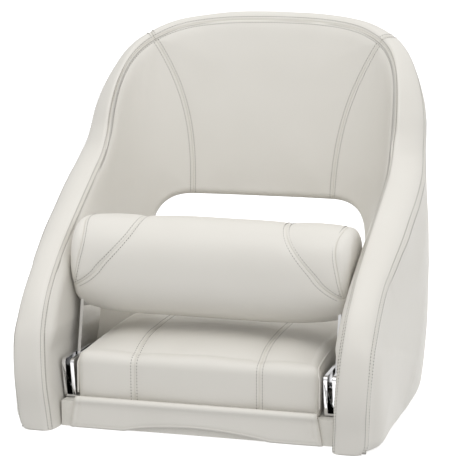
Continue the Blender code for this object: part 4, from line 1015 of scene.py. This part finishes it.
def make_wrap(vinyl, shell):
    hole_half = evenly(opening_line(BINDING_RISE))
    top_level = OPENING_TOP - BINDING_RISE
    seam = evenly(back_seam(top_level))
    rim_top = evenly(RIM[:TOP_CORNER + 1])
    rim_side = evenly(RIM[TOP_CORNER:])
    rim = np.concatenate([rim_top, rim_side[1:]])
    rim_whole = np.concatenate([flipped(rim)[::-1], rim[1:]])
    hole = np.concatenate([hole_half, flipped(hole_half)[-2:0:-1]])
    hole_closed = closed(hole)
    seams = [seam, flipped(seam)]
    outer_seam = evenly([(OUTER_SEAM, 0), tuple(RIM[OUTER_CORNER])])
    outer_seams = [outer_seam, flipped(outer_seam)]

    def inner(points):
        return inner_depth(points, seams, rim_whole, hole_closed)

    def outer(points):
        return outer_depth(points, outer_seams, rim_whole, hole_closed)

    def panels(pieces, loops, shape, back, gap):
        """Pads of one outline: a name, a node and a side for each."""
        flat, triangles = fill(loops, [])
        # Painted shade along the panels' seams.
        creases = crease_shade_mask(gap(flat))
        for name, node, side in pieces:
            places = flat * np.array([side, 1.0])
            piece = padded_sheet(name, places, triangles, shape(places), back, vinyl, creases)
            dress(piece, "seat", [node])

    # Back panel
    foot = evenly([(-BACK_SEAM_FOOT, top_level), (BACK_SEAM_FOOT, top_level)])
    loop = join(foot, seam, rim_top[::-1], flipped(rim_top), flipped(seam)[::-1])
    panels([("back_panel", "inner_back_pad", 1.0)], [loop], inner, INNER_PAD,
           lambda flat: seam_gap(flat, seams, rim_whole))

    # Side panels
    at_seam = np.argmin(np.abs(hole_half[:, 0] - BACK_SEAM_FOOT)
                        + (hole_half[:, 1] < top_level - MERGE) * 9)
    low_top = hole_half[-1, 1]
    at_low = np.argmin(np.abs(hole_half[:, 0] - LOW_SEAM) + (hole_half[:, 1] > low_top + MERGE) * 9)
    edge = hole_half[at_seam:at_low + 1].copy()
    edge[0] = seam[0]
    edge[-1] = (LOW_SEAM, low_top)
    low_line = evenly([(LOW_SEAM, 0), (LOW_SEAM, low_top)])
    floor = evenly([tuple(rim_side[-1]), (LOW_SEAM, 0)], SPACING * 2)
    seams += [low_line, flipped(low_line)]
    panels([(f"side_panel_{name}", f"inner_side_pad_{name}", side) for name, side in SIDES],
           [join(low_line, edge[::-1], seam, rim_side, floor)], inner, INNER_PAD,
           lambda flat: seam_gap(flat, seams, rim_whole))

    # Low panel behind the cushion
    loop = join(evenly([(-LOW_SEAM, 0), (LOW_SEAM, 0)], SPACING * 2), low_line,
                evenly([(LOW_SEAM, low_top), (-LOW_SEAM, low_top)]),
                flipped(low_line)[::-1])
    panels([("low_panel", "inner_lower_pad", 1.0)], [loop], inner, INNER_PAD,
           lambda flat: nearest_of(flat, seams)[0])

    # Outer covers
    rim_back = evenly(RIM[:OUTER_CORNER + 1])
    loop = join(evenly([(-OUTER_SEAM, 0), (OUTER_SEAM, 0)], SPACING * 2), outer_seam,
                rim_back[::-1], flipped(rim_back), flipped(outer_seam)[::-1])
    panels([("outer_back_panel", "outer_back_cover", 1.0)], [loop, hole[::-1]], outer, OUTER_FROM,
           lambda flat: nearest_of(flat, outer_seams)[0])
    rim_front = evenly(RIM[OUTER_CORNER:])
    loop = join(outer_seam, rim_front,
                evenly([tuple(rim_front[-1]), (OUTER_SEAM, 0)], SPACING * 2))
    panels([(f"outer_side_panel_{name}", f"outer_side_cover_{name}", side)
            for name, side in SIDES], [loop], outer, OUTER_FROM,
           lambda flat: nearest_of(flat, outer_seams)[0])

    # Moulded shell between the pads and the covers
    low = np.array([(-rim_side[-1, 0], 0), (rim_side[-1, 0], 0)])
    loop = join(evenly(low, SHELL_STEP), evenly(rim_whole[::-1], SHELL_STEP))
    ring = evenly(hole_closed, SHELL_STEP)[:-1]
    flat, triangles = fill([loop, ring[::-1]], [], SHELL_STEP)
    front = np.full(len(flat), INNER_PAD + SHELL_GAP)
    piece = padded_sheet("back_shell", flat, triangles, front, OUTER_FROM - SHELL_GAP, shell,
                         np.zeros(len(flat)))
    dress(piece, "seat", ["moulded_shell"])

    # Rim bands, the side ones drawn on past the floor and cut there, and the opening's lining
    top_line = np.concatenate([flipped(rim_top)[::-1], rim_top[1:]])
    beyond = rim_side[-1] + (rim_side[-1] - rim_side[-2]) * 6
    side_line = np.concatenate([rim_side, [beyond]])
    for name, line, outward, ends in (("top", top_line, 1.0, (True, True)),
                                      ("right", side_line, 1.0, (True, False)),
                                      ("left", flipped(side_line), -1.0, (True, False))):
        piece = make_band(f"rim_cover_{name}", line, outward, ends, vinyl)
        dress(piece, "seat", [f"rim_band_{name}"])
    dress(make_lining(hole, vinyl), "seat", ["opening_binding"])

    # Topstitching
    across = band_section()[3][-1]
    outer_at = np.full(len(rim_whole), across - OUTER_INSET)
    for offset in (-ROW_OFFSET, ROW_OFFSET):
        at = seam_inset(rim_whole[:, 1]) + offset
        stitch_row("seat", rim_row(rim_whole, at, inner))
    stitch_row("seat", rim_row(rim_whole, outer_at - ROW_OFFSET, inner))
    stitch_row("seat", outer_row(rim_whole, ROW_OFFSET - OUTER_INSET, outer))
    for line, depth_of in ((seam, inner), (flipped(seam), inner),
                           (outer_seam, outer), (flipped(outer_seam), outer)):
        for offset in (-ROW_OFFSET, ROW_OFFSET):
            stitch_row("seat", panel_row(line, offset, depth_of), PANEL_TRIM)
    cross_rows(rim, len(rim_top) - 1)


def cross_rows(rim, corner):
    """Stitches across the band beside the short seams at the top corners."""
    rise, depth = band_section()[:2]
    keep = slice(8, -16)
    for side in (-1.0, 1.0):
        line = rim if side > 0 else flipped(rim)
        across = sideways(line) * side
        for step in (-1, 1):
            at = line[corner] + (line[corner + step] - line[corner]) * ROW_OFFSET / SPACING
            lift = rise[keep] * band_lift(line[corner:corner + 1]) + STITCH_LIFT
            row = at + across[corner] * lift[:, None]
            stitch_row("seat", bent(row[:, 0], row[:, 1], depth[keep]), CROSS_TRIM)


def make_lining(hole, material):
    """Lining through the lumbar opening, from the roll of the inner cover to the outer one."""
    path = closed(hole)
    outwards = -sideways(path)
    outwards[0] = outwards[-1] = (outwards[0] + outwards[-1]) / 2
    low = OPENING_ROLL * LINING_SHARE
    high = ARM_WALL - low
    share = np.linspace(0, 1, 22)
    depth = low + (high - low) * share
    rise = LINING_RISE + LINING_BULGE * np.sin(share * math.pi)
    count = len(path) - 1
    step = np.arange(count)
    wobble = LINING_WAVE * np.sin(step / 9.0 + np.sin(step / 23.0))
    positions = []
    for k in range(count):
        lift = rise + wobble[k] * np.sin(share * math.pi)
        points = path[k] + outwards[k] * lift[:, None]
        positions.append(bent(points[:, 0], points[:, 1], depth))
        base = path[k] - outwards[k] * PADDING
        positions.append(bent(base[0], base[1], np.array([high, low])))
    positions = np.concatenate(positions)
    width = len(share) + 2
    faces = []
    for k in range(count):
        near = k * width + np.arange(width)
        far = (k + 1) % count * width + np.arange(width)
        faces += zip(near, np.roll(near, -1), np.roll(far, -1), far)
    mesh = plain_mesh("opening_lining", positions, faces)
    piece = mesh_piece("opening_lining", mesh, material)
    store(piece, "crease", np.zeros(len(positions)))
    return piece


# Seat cushion and apron

def cushion_back(x, inset):
    """Where the cushion ends at the back, at each place across it."""
    half = CUSHION_HALF - inset
    depth = CORNER_DEPTH * half / INNER_HALF_TOP
    back = side_start(BASE_HEIGHT) + CORNER_DEPTH - CUSHION_REAR_GAP - inset
    across = np.minimum(np.abs(x) / half, 1)
    return back - depth + depth * (1 - across ** CORNER_POWER) ** (1 / CORNER_POWER)


def cushion_front(x, inset):
    """Where the cushion begins at the front, with its corners rounded."""
    half = CUSHION_HALF - inset
    corner = max(CUSHION_CORNER - inset, 0.001)
    past = np.clip((np.abs(x) - (half - corner)) / corner, 0, 1)
    return CUSHION_FRONT + inset + corner * (1 - np.sqrt(1 - past ** 2))


def cushion_columns():
    """Shares of the half width, close together beside the seams."""
    offsets = np.array(RING_OFFSETS) / CUSHION_HALF
    seam = CUSHION_SEAM / CUSHION_HALF
    inner = np.linspace(0, seam - offsets[-1], 22)[:-1]
    near = np.concatenate([seam - offsets[::-1], [seam], seam + offsets])
    outer = 1 - (1 - seam - offsets[-1]) * np.cos(np.linspace(0, math.pi / 2, 26))[1:] ** 1.5
    right = np.concatenate([inner, near, outer])
    return np.concatenate([-right[:0:-1], right])


def cushion_swell(x):
    """Panels puffed between the seams, before the seams themselves are drawn in."""
    middle = np.where(np.abs(x) < CUSHION_SEAM, 0, (CUSHION_SEAM + CUSHION_HALF) / 2)
    half = np.where(np.abs(x) < CUSHION_SEAM, CUSHION_SEAM, (CUSHION_HALF - CUSHION_SEAM) / 2)
    return CUSHION_PUFF * np.maximum(0, 1 - np.abs((np.abs(x) - middle) / half) ** 2.2)


def make_cushion(vinyl):
    low = BASE_HEIGHT + CUSHION_LIFT
    top = BASE_HEIGHT + BOARD_THICKNESS + CUSHION_TALL
    shares = cushion_columns()
    rows = np.linspace(0, 1, CUSHION_ROWS)
    rows = (1 - np.cos(np.linspace(0, math.pi, CUSHION_ROWS))) / 2 * 0.5 + rows * 0.5
    outer = np.clip((np.abs(shares) * CUSHION_HALF - CUSHION_SEAM)
                    / (CUSHION_HALF - CUSHION_SEAM), 0, 1)

    def places(inset):
        x = shares * (CUSHION_HALF - inset * outer)
        front = cushion_front(x, inset)
        back = cushion_back(x, inset)
        y = front[:, None] + (back - front)[:, None] * rows[None, :]
        draw = CUSHION_SIDE_DRAW * outer[:, None] * np.sin(math.pi * rows)[None, :]
        return np.broadcast_to(x[:, None], y.shape) - np.sign(x)[:, None] * draw, y

    def border(values):
        return np.concatenate([values[:, 0], values[-1, 1:-1], values[::-1, -1],
                               values[0, -2:0:-1]])

    length = cushion_back(0, CUSHION_EDGE) - CUSHION_FRONT - CUSHION_EDGE
    x, y = places(CUSHION_EDGE)
    along = np.clip(2 * (y - CUSHION_FRONT - CUSHION_EDGE) / length - 1, -1, 1)
    crown = CUSHION_CROWN * (1 - (x / CUSHION_HALF) ** 4) * (1 - along ** 4)
    seam = np.abs(np.abs(x) - CUSHION_SEAM)
    dips = seam_depth(seam, y)
    spots = np.stack([x.ravel(), y.ravel()], 1)
    wear = ripples(spots, CUSHION_WAVE_SCALE, 3.3).reshape(x.shape)
    creases = ripples(spots, CUSHION_CREASE_SCALES, 8.3).reshape(x.shape)
    under = beside(y - CUSHION_CREASE_AT, CUSHION_CREASE_REACH)
    z = (top + crown + cushion_swell(x) - dips + CUSHION_WAVE * wear
         + CUSHION_CREASE * creases * under)
    positions = [np.stack([x, y, z], -1).reshape(-1, 3)]
    # Painted shade along the two seams, over the top and down the front.
    seam_shades = [crease_shade_mask(seam).ravel()]
    wide, deep = x.shape
    index = np.arange(wide * deep).reshape(wide, deep)
    first = index[:-1, :-1].ravel()
    faces = [*zip(first, first + deep, first + deep + 1, first + 1)]
    loop = border(index)
    lift = border(z) - top
    count = len(loop)
    levels = []
    for k in range(1, EDGE_STEPS + 1):
        turn = math.pi / 2 * k / EDGE_STEPS
        levels.append((CUSHION_EDGE * (1 - math.sin(turn)),
                       top - CUSHION_EDGE * (1 - math.cos(turn)), turn))
    wall = top - CUSHION_EDGE - low
    for share in np.linspace(1, 0, WALL_STEPS)[1:]:
        levels.append((CUSHION_FOOT_DRAW * (1 - share) ** 2.5 * 0.6, low + wall * share,
                       math.pi / 2))
    base = wide * deep
    front_row = np.zeros(count, bool)
    front_row[:wide] = True
    paths = []
    for inset, level, turn in levels:
        px, py = (border(values) for values in places(inset))
        gap = np.abs(np.abs(px) - CUSHION_SEAM)
        out = np.where(front_row, cushion_swell(px) - seam_depth(gap, level), 0)
        out = out * math.sin(turn)
        height = level + lift * math.cos(turn)
        positions.append(np.stack([px, py - out, height], -1))
        seam_shades.append(np.where(front_row, crease_shade_mask(gap), 0))
        paths.append((px[:wide], (py - out)[:wide], height[:wide]))
        ring = np.arange(base, base + count)
        faces += zip(loop, ring, np.roll(ring, -1), np.roll(loop, -1))
        loop = ring
        base += count
    faces.append(loop)
    positions = np.concatenate(positions)
    positions[:, 1] -= PEDESTAL_DISTANCE
    mesh = plain_mesh("cushion_cover", positions, faces)
    piece = mesh_piece("cushion_cover", mesh, vinyl)
    store(piece, "crease", np.concatenate(seam_shades))
    dress(piece, "seat", ["seat_cushion"])

    # Stitches beside both seams, up the front and back along the top
    for side in (-1, 1):
        for offset in (-ROW_OFFSET, ROW_OFFSET):
            column = np.argmin(np.abs(x[:, 0] - side * CUSHION_SEAM - offset))
            front_line = [[values[column] for values in path] for path in reversed(paths)]
            row = np.array(front_line + list(zip(x[column], y[column], z[column])))
            row[:, 1] -= PEDESTAL_DISTANCE
            stitch_row("seat", row, CUSHION_TRIM)


def make_piping(vinyl):
    """Piping sewn round the cushion's side panels, up the front corners and back over the top."""
    low = BASE_HEIGHT + BOARD_THICKNESS + PIPING_SINK
    top = low + CUSHION_TALL - PIPING_TURN
    for name, side in SIDES:
        half = CUSHION_HALF - PIPING_IN
        front = CUSHION_FRONT + PIPING_TURN
        line = [(half, front, low), (half, front, top - CUSHION_EDGE)]
        for k in range(1, 9):
            turn = math.pi / 2 * k / 8
            line.append((half - PIPING_TURN * math.sin(turn),
                         front + (CUSHION_EDGE - PIPING_TURN) * (1 - math.cos(turn)),
                         top - CUSHION_EDGE + (CUSHION_EDGE - PIPING_SINK) * math.sin(turn)))
        back = float(cushion_back(0.0, 0)) - CORNER_DEPTH * 0.45
        start = line[-1][1]
        for share in np.linspace(0.1, 1, 12):
            y = start + (back - start) * share
            drawn = CUSHION_SIDE_DRAW * math.sin(math.pi * (y - CUSHION_FRONT) / 0.33)
            line.append((half - PIPING_TURN - drawn, y,
                         top - PIPING_SINK + PIPING_TURN * math.sin(share * 3)))
        points = [(side * a, b - PEDESTAL_DISTANCE, c) for a, b, c in line]
        piece = tube_piece(f"cushion_piping_{name}", points, PIPING_RADIUS, vinyl)
        dress(piece, "seat", [])


def tube_piece(name, points, radius, material):
    """A round cord along points, as a mesh with closed ends."""
    data = bpy.data.curves.new(name, "CURVE")
    data.dimensions = "3D"
    data.bevel_depth = radius
    data.bevel_resolution = 3
    data.use_fill_caps = True
    spline = data.splines.new("POLY")
    dense = evenly(smooth_line(points, 4), radius * 2)
    spline.points.add(len(dense) - 1)
    for point, place in zip(spline.points, dense):
        point.co = (*place, 1)
    mesh = taken(placed(name, data))
    bm = bmesh.new()
    bm.from_mesh(mesh)
    bmesh.ops.remove_doubles(bm, verts=bm.verts, dist=MERGE)
    bm.to_mesh(mesh)
    bm.free()
    piece = mesh_piece(name, mesh, material)
    store(piece, "crease", np.zeros(len(piece.data.vertices)))
    return piece


def make_apron(vinyl):
    """The flap in front of the base: a rolled top, hems at its sides and an arched lower edge."""
    top = BASE_HEIGHT + BOARD_THICKNESS
    arch = smooth_line([(0.60, 0.0), (0.36, 0.62), (0.0, 1.0), (-0.36, 0.62), (-0.56, 0.0)], 8)
    arch = [(APRON_HALF_FOOT * s, APRON_ARCH * t) for s, t in arch]
    foot = [(-APRON_HALF_FOOT, 0.0)] + arch[::-1] + [(APRON_HALF_FOOT, 0.0)]
    foot = evenly(foot)
    right = evenly([(APRON_HALF_FOOT, 0), (APRON_HALF_TOP, top)])
    over = evenly([(APRON_HALF_TOP, top), (-APRON_HALF_TOP, top)])
    left = evenly([(-APRON_HALF_TOP, top), (-APRON_HALF_FOOT, 0)])
    loop = join(foot, right, over, left)
    hems = [line + sideways(line) * APRON_HEM for line in (right, left)]
    hem = (foot + sideways(foot) * APRON_FOOT_HEM)[3:-3]
    flat, triangles = fill([loop], [])
    side_gap = nearest_of(flat, hems)[0]
    foot_gap = nearest(flat, hem)[0]
    edge = nearest_of(flat, [right, left])[0]
    lift = APRON_THICKNESS - APRON_HEM_DENT * beside(side_gap, ROW_WIDTH)
    lift -= APRON_FOOT_DENT * beside(foot_gap, ROW_WIDTH)
    lift -= APRON_EDGE_ROLL * beside(edge, APRON_EDGE_ROLL)
    lift -= APRON_FOOT_ROLL * beside(nearest(flat, foot)[0], APRON_FOOT_ROLL_REACH)
    roll = (flat[:, 1] - (top - APRON_ROLL)) / APRON_ROLL
    lift += APRON_ROLL_RISE * beside(roll - 0.45, 0.38)
    lift -= 0.0030 * np.clip(roll - 0.75, 0, 1) ** 1.5 * 8
    lift += APRON_WAVE * ripples(flat, APRON_WAVE_SCALE, 4.4)
    front = BASE_FRONT - APRON_GAP
    face = np.stack([flat[:, 0], front - lift - PEDESTAL_DISTANCE, flat[:, 1]], 1)
    back = np.stack([flat[:, 0], np.full(len(flat), front - PEDESTAL_DISTANCE), flat[:, 1]], 1)
    # Painted shade in the dents of the hems, at 0.6 of that at the seams.
    seam_shade = np.maximum(crease_shade_mask(side_gap), crease_shade_mask(foot_gap)) * 0.6
    piece = pad("apron_cover", face, back, triangles, vinyl, seam_shade)
    dress(piece, "seat", ["front_apron"])


# Bolster

def bolster_surface(u, v):
    """From the unrolled cover to the bolster: u along it, v round it from the middle of its top
    towards the front, both as lengths."""
    half = BOLSTER_HALF - BOLSTER_DOME
    reach = np.abs(u)
    past = np.clip((reach - half) / BOLSTER_DOME, 0, None)
    turn = np.minimum(past, math.pi / 2)
    x = np.where(past > 0, half + BOLSTER_DOME * np.sin(turn), reach)
    inward = BOLSTER_DOME * (1 - np.cos(turn))
    flat_end = np.clip(past - math.pi / 2, 0, None) * BOLSTER_DOME
    x = x + BOLSTER_END_PUFF * (1 - beside(flat_end, BOLSTER_END_REACH))
    across = np.minimum(reach / BOLSTER_HALF, 1)
    rise = BOLSTER_END_RISE * across ** 6
    slim = BOLSTER_END_SLIM * across ** 4
    depth = BOLSTER_HALF_DEPTH - slim
    tall = BOLSTER_HALF_TALL - rise / 2 - slim / 2
    shrink = inward + flat_end
    scale = np.maximum(1 - shrink / depth, 0.0)
    angle = math.pi / 2 + v / BOLSTER_HALF_TALL
    c, s = np.cos(angle), np.sin(angle)
    power = 2 / BOLSTER_POWER
    y = BOLSTER_BACK + depth * scale * np.sign(c) * np.abs(c) ** power
    tall = np.maximum(np.where(shrink > 0, tall - shrink * 0.98, tall), BOLSTER_END_TALL)
    z = BOLSTER_UP + rise / 2 + tall * np.sign(s) * np.abs(s) ** power
    return np.stack([np.sign(u) * x, y - PEDESTAL_DISTANCE, z], -1)


def bolster_seam(v):
    """Distance across of the slanted seam at each place round the bolster."""
    angle = np.abs(v) / BOLSTER_HALF_TALL
    height = BOLSTER_UP + BOLSTER_HALF_TALL * np.cos(angle)
    share = np.clip((BOLSTER_SEAM_TOP - height) / BOLSTER_SEAM_TALL, 0, 1)
    return BOLSTER_SEAM_IN + BOLSTER_SEAM_RUN * share ** 1.55


def make_bolster(vinyl):
    end = BOLSTER_HALF - BOLSTER_DOME + BOLSTER_DOME * math.pi / 2 + BOLSTER_END_CAP
    limit = math.pi * BOLSTER_HALF_TALL
    low = BOLSTER_SEAM_TOP - BOLSTER_SEAM_TALL
    reach = math.acos((low - BOLSTER_UP) / BOLSTER_HALF_TALL) * BOLSTER_HALF_TALL
    v = np.linspace(-reach, reach, 240)
    slant = evenly(np.stack([bolster_seam(v), v], 1))
    share = np.linspace(-1, 1, 160)
    across = BOLSTER_CAP_AT + (slant[-1, 0] - BOLSTER_CAP_AT) * np.abs(share) ** 2.2
    across -= BOLSTER_CAP_BOW * np.sin(np.abs(share) * math.pi) ** 2
    cap = evenly(np.stack([across, share * reach], 1))
    corners = [(-end, -limit), (end, -limit), (end, limit), (-end, limit), (-end, -limit)]
    loop = join(*(evenly(side, step) for side, step
                  in zip(zip(corners, corners[1:]), BOLSTER_BORDER_STEPS * 2)))
    seams = [slant, cap, flipped(slant), flipped(cap)]
    flat, triangles = fill([loop], seams, BOLSTER_CELL)
    gap, place = nearest_of(flat, seams)
    positions = bolster_surface(flat[:, 0], flat[:, 1])
    middle = flat[triangles].mean(1)
    border = np.interp(middle[:, 1], cap[:, 1], cap[:, 0])
    border = np.where(np.abs(middle[:, 1]) > reach, BOLSTER_HALF, border)
    is_cap = np.abs(middle[:, 0]) > border
    mesh = plain_mesh("bolster", positions, triangles)
    mesh.update()
    normals = np.zeros(len(positions) * 3)
    mesh.vertices.foreach_get("normal", normals)
    normals = normals.reshape(-1, 3)
    centre = np.array([0, BOLSTER_BACK - PEDESTAL_DISTANCE, BOLSTER_UP])
    facing = ((positions - centre) * np.array([0.2, 1, 1]) * normals).sum(1)
    if np.median(facing) < 0:
        normals = -normals
    swell = (BOLSTER_WAVE * ripples(flat, BOLSTER_WAVE_SCALE, 2.2)
             + BOLSTER_PUFF * (1 - beside(gap, BOLSTER_PUFF_REACH)))
    away = (flat - BOLSTER_DIMPLE_AT) / BOLSTER_DIMPLE_SIZE
    dimple = np.exp(-(away ** 2).sum(1))
    lift = swell - seam_depth(gap, place) - BOLSTER_DIMPLE * dimple
    lift = np.where(np.abs(flat[:, 1]) > limit - BOLSTER_JOIN, 0.0, lift)
    positions = positions + normals * lift[:, None]
    # Painted shade along the bolster's seams, carried into each piece of its skin.
    seam_shade = crease_shade_mask(gap)
    pieces = (("bolster_cover", ~is_cap, "bolster_pad", 0.85),
              ("bolster_cap_left", is_cap & (middle[:, 0] < 0), "bolster_end_left", 0.7),
              ("bolster_cap_right", is_cap & (middle[:, 0] > 0), "bolster_end_right", 0.7))
    for name, chosen, node, fill_share in pieces:
        piece = bolster_piece(name, positions, triangles[chosen], seam_shade, vinyl)
        dress(piece, "bolster", [node])

    def on_cover(line):
        gap_here, place_here = nearest_of(line, seams)
        places = bolster_surface(line[:, 0], line[:, 1])
        near = [np.argmin(((positions - p) ** 2).sum(1)) for p in places]
        lift_here = STITCH_LIFT - seam_depth(gap_here, place_here)
        return places + normals[near] * lift_here[:, None]

    for line, sides, trim in ((slant, (-1, 1), BOLSTER_TRIM),
                              (flipped(slant), (-1, 1), BOLSTER_TRIM),
                              (cap, (1,), CAP_TRIM), (flipped(cap), (-1,), CAP_TRIM)):
        for side in sides:
            row = line + sideways(line) * ROW_OFFSET * side
            stitch_row("bolster", on_cover(row), trim)


def bolster_piece(name, positions, triangles, seam_shade, material):
    """Part of the bolster's skin, made a closed shell by a wall inside it."""
    used = np.unique(triangles)
    place = np.full(len(positions), -1)
    place[used] = np.arange(len(used))
    local = place[triangles]
    bm = bmesh.new()
    layer = bm.verts.layers.float.new("crease")
    verts = []
    for k in used:
        vert = bm.verts.new(positions[k])
        vert[layer] = seam_shade[k]
        verts.append(vert)
    for a, b, c in local:
        bm.faces.new((verts[a], verts[b], verts[c]))
    bmesh.ops.remove_doubles(bm, verts=bm.verts, dist=MERGE * 2)
    ends = [edge for edge in bm.edges if len(edge.link_faces) == 1
            and all(abs(vert.co.x) > BOLSTER_HALF - BOLSTER_END_LEVEL
                    and abs(vert.co.y + PEDESTAL_DISTANCE - BOLSTER_BACK) < BOLSTER_END_HALF
                    for vert in edge.verts)]
    if ends:
        bmesh.ops.holes_fill(bm, edges=ends, sides=0)
    bmesh.ops.recalc_face_normals(bm, faces=bm.faces)
    middle = sum((face.calc_center_median() * face.calc_area() for face in bm.faces),
                 Vector()) / sum(face.calc_area() for face in bm.faces)
    spread = sum((face.calc_center_median() - middle).dot(face.normal) * face.calc_area()
                 for face in bm.faces)
    if spread < 0:
        bmesh.ops.reverse_faces(bm, faces=bm.faces)
    mesh = bpy.data.meshes.new(name)
    bm.to_mesh(mesh)
    bm.free()
    piece = shown(name, mesh, material)
    wall = piece.modifiers.new("wall", "SOLIDIFY")
    wall.thickness = PADDING
    wall.offset = -1.0
    return piece


# Hinge parts, base and stage

def bevelled(name, node, width, material, body):
    """A rigid node with its edges eased, in place of the plain one."""
    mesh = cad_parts[node].data.copy()
    bm = bmesh.new()
    bm.from_mesh(mesh)
    bmesh.ops.remove_doubles(bm, verts=bm.verts, dist=MERGE)
    bmesh.ops.dissolve_limit(bm, angle_limit=math.radians(1.0), verts=bm.verts, edges=bm.edges)
    bm.to_mesh(mesh)
    bm.free()
    piece = shown(name, mesh, material)
    mesh.set_sharp_from_angle(angle=math.radians(30))
    edge = piece.modifiers.new("eased", "BEVEL")
    edge.width = width
    edge.segments = 3
    edge.limit_method = "ANGLE"
    edge.angle_limit = math.radians(40)
    edge.harden_normals = True
    dress(piece, body, [node])


def make_rigid_parts(steel, brushed, base, ply, nylon):
    for side, _ in SIDES:
        bevelled(f"bracket_{side}", f"hinge_bracket_{side}", 0.0012, steel, "seat")
        bevelled(f"arm_{side}", f"swing_arm_{side}", 0.0008, steel, "bolster")
    bevelled("base_moulding", "base_frame", 0.0015, base, "seat")
    bevelled("pedestal_plate", "mounting_plate", 0.0006, brushed, "seat")

    # Nodes that are shown as they are
    for kinds, material in ((("pivot_pin", "stop_pin"), steel),
                            (("pivot_clip", "arm_screw", "bracket_screw", "plate_screw"), brushed),
                            (("pivot_bush", "pivot_washer"), nylon),
                            (("cushion_board", "bolster_core"), ply)):
        for node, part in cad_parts.items():
            if node.startswith(kinds):
                part.data.materials.clear()
                part.data.materials.append(material)


def make_stage():
    """Pale floor, soft studio light and the camera."""
    corners = [(FLOOR_REACH * a, FLOOR_REACH * b, 0)
               for a, b in ((-1, -1), (1, -1), (1, 1), (-1, 1))]
    mesh = plain_mesh("floor", corners, [range(4)])
    floor = placed("floor", mesh)
    floor.location.z = -FLOOR_DROP
    material, tree, shader = new_material("floor", 0.9)
    feed(tree, shader, {"Base Color": (0.88, 0.88, 0.88, 1), "Emission Color": (1, 1, 1, 1),
                        "Emission Strength": 0.55})
    mesh.materials.append(material)
    floor.visible_diffuse = False

    # Sky brighter above and from the right
    world = bpy.data.worlds.new("studio")
    bpy.context.scene.world = world
    world.use_nodes = True
    tree = world.node_tree
    way = add(tree, "ShaderNodeTexCoord")["Generated"]
    slope = add(tree, "ShaderNodeVectorMath", {0: way, 1: SKY_SLOPE},
                operation="DOT_PRODUCT")["Value"]
    level = add(tree, "ShaderNodeMath", {0: slope, 1: SKY_LEVEL})[0]
    feed(tree, tree.nodes["Background"], {"Color": (1.0, 1.0, 1.0, 1), "Strength": level})

    lamp = bpy.data.lights.new("overhead", "AREA")
    lamp.shape = "RECTANGLE"
    lamp.size, lamp.size_y = LAMP_SIZE
    lamp.energy = LAMP_POWER
    light = placed("overhead", lamp)
    light.location = LAMP_PLACE
    direction = LAMP_TARGET - LAMP_PLACE
    light.rotation_euler = direction.to_track_quat("-Z", "Y").to_euler()

    camera_data = bpy.data.cameras.new("camera")
    camera_data.lens = VIEW_LENS
    camera_data.sensor_width = SENSOR
    camera = placed("camera", camera_data)
    forward = Vector((-math.sin(VIEW_AZIMUTH) * math.cos(VIEW_ELEVATION),
                      math.cos(VIEW_AZIMUTH) * math.cos(VIEW_ELEVATION),
                      -math.sin(VIEW_ELEVATION)))
    camera.location = VIEW_TARGET - forward * VIEW_DISTANCE
    camera.rotation_euler = forward.to_track_quat("-Z", "Y").to_euler()
    bpy.context.scene.camera = camera
    bpy.context.scene.view_settings.view_transform = "Standard"


def main():
    # The vinyl's third colour is painted shade, mixed in along the seams' creases.
    vinyl = vinyl_material("white_vinyl", (0.745, 0.722, 0.675, 1), (0.705, 0.683, 0.63, 1),
                           (0.69, 0.667, 0.605, 1))
    # Thread far darker than its own grey-beige: painted shade for its needle holes and dents.
    thread = mottled("thread", (0.19, 0.178, 0.155, 1), (0.12, 0.112, 0.095, 1), (0.7, 0.7),
                     1500.0, 2.0, (0.5, 0.0002))
    steel = mottled("polished_steel", (0.86, 0.86, 0.86, 1), (0.76, 0.76, 0.77, 1), (0.08, 0.16),
                    60.0, 5.0, (0.05, 0.0001), (1.0, 1.0, 14.0), 1.0)
    brushed = mottled("satin_steel", (0.72, 0.72, 0.73, 1), (0.58, 0.58, 0.60, 1), (0.28, 0.42),
                      60.0, 5.0, (0.05, 0.0001), (14.0, 1.0, 1.0), 1.0)
    base = mottled("base_moulding", (0.74, 0.72, 0.67, 1), (0.68, 0.66, 0.61, 1), (0.44, 0.58),
                   240.0, 6.0, (0.2, 0.0004))
    shell = mottled("shell_moulding", (0.12, 0.12, 0.13, 1), (0.08, 0.08, 0.09, 1), (0.54, 0.68),
                    180.0, 6.0, (0.3, 0.0004))
    nylon = mottled("nylon", (0.86, 0.85, 0.81, 1), (0.80, 0.79, 0.75, 1), (0.39, 0.53), 300.0,
                    6.0, (0.1, 0.0004))
    ply = mottled("sealed_ply", (0.62, 0.46, 0.28, 1), (0.30, 0.19, 0.10, 1), (0.6, 0.6), 3.0, 8.0,
                  (0.2, 0.0005), (3.0, 40.0, 40.0))
    make_wrap(vinyl, shell)
    make_cushion(vinyl)
    make_piping(vinyl)
    make_apron(vinyl)
    make_bolster(vinyl)
    make_rigid_parts(steel, brushed, base, ply, nylon)
    tree = stitch_tree()
    for body in ("seat", "bolster"):
        piece = sew(f"stitches_{body}", body, tree, thread)
        dress(piece, body, [])
    make_stage()


main()
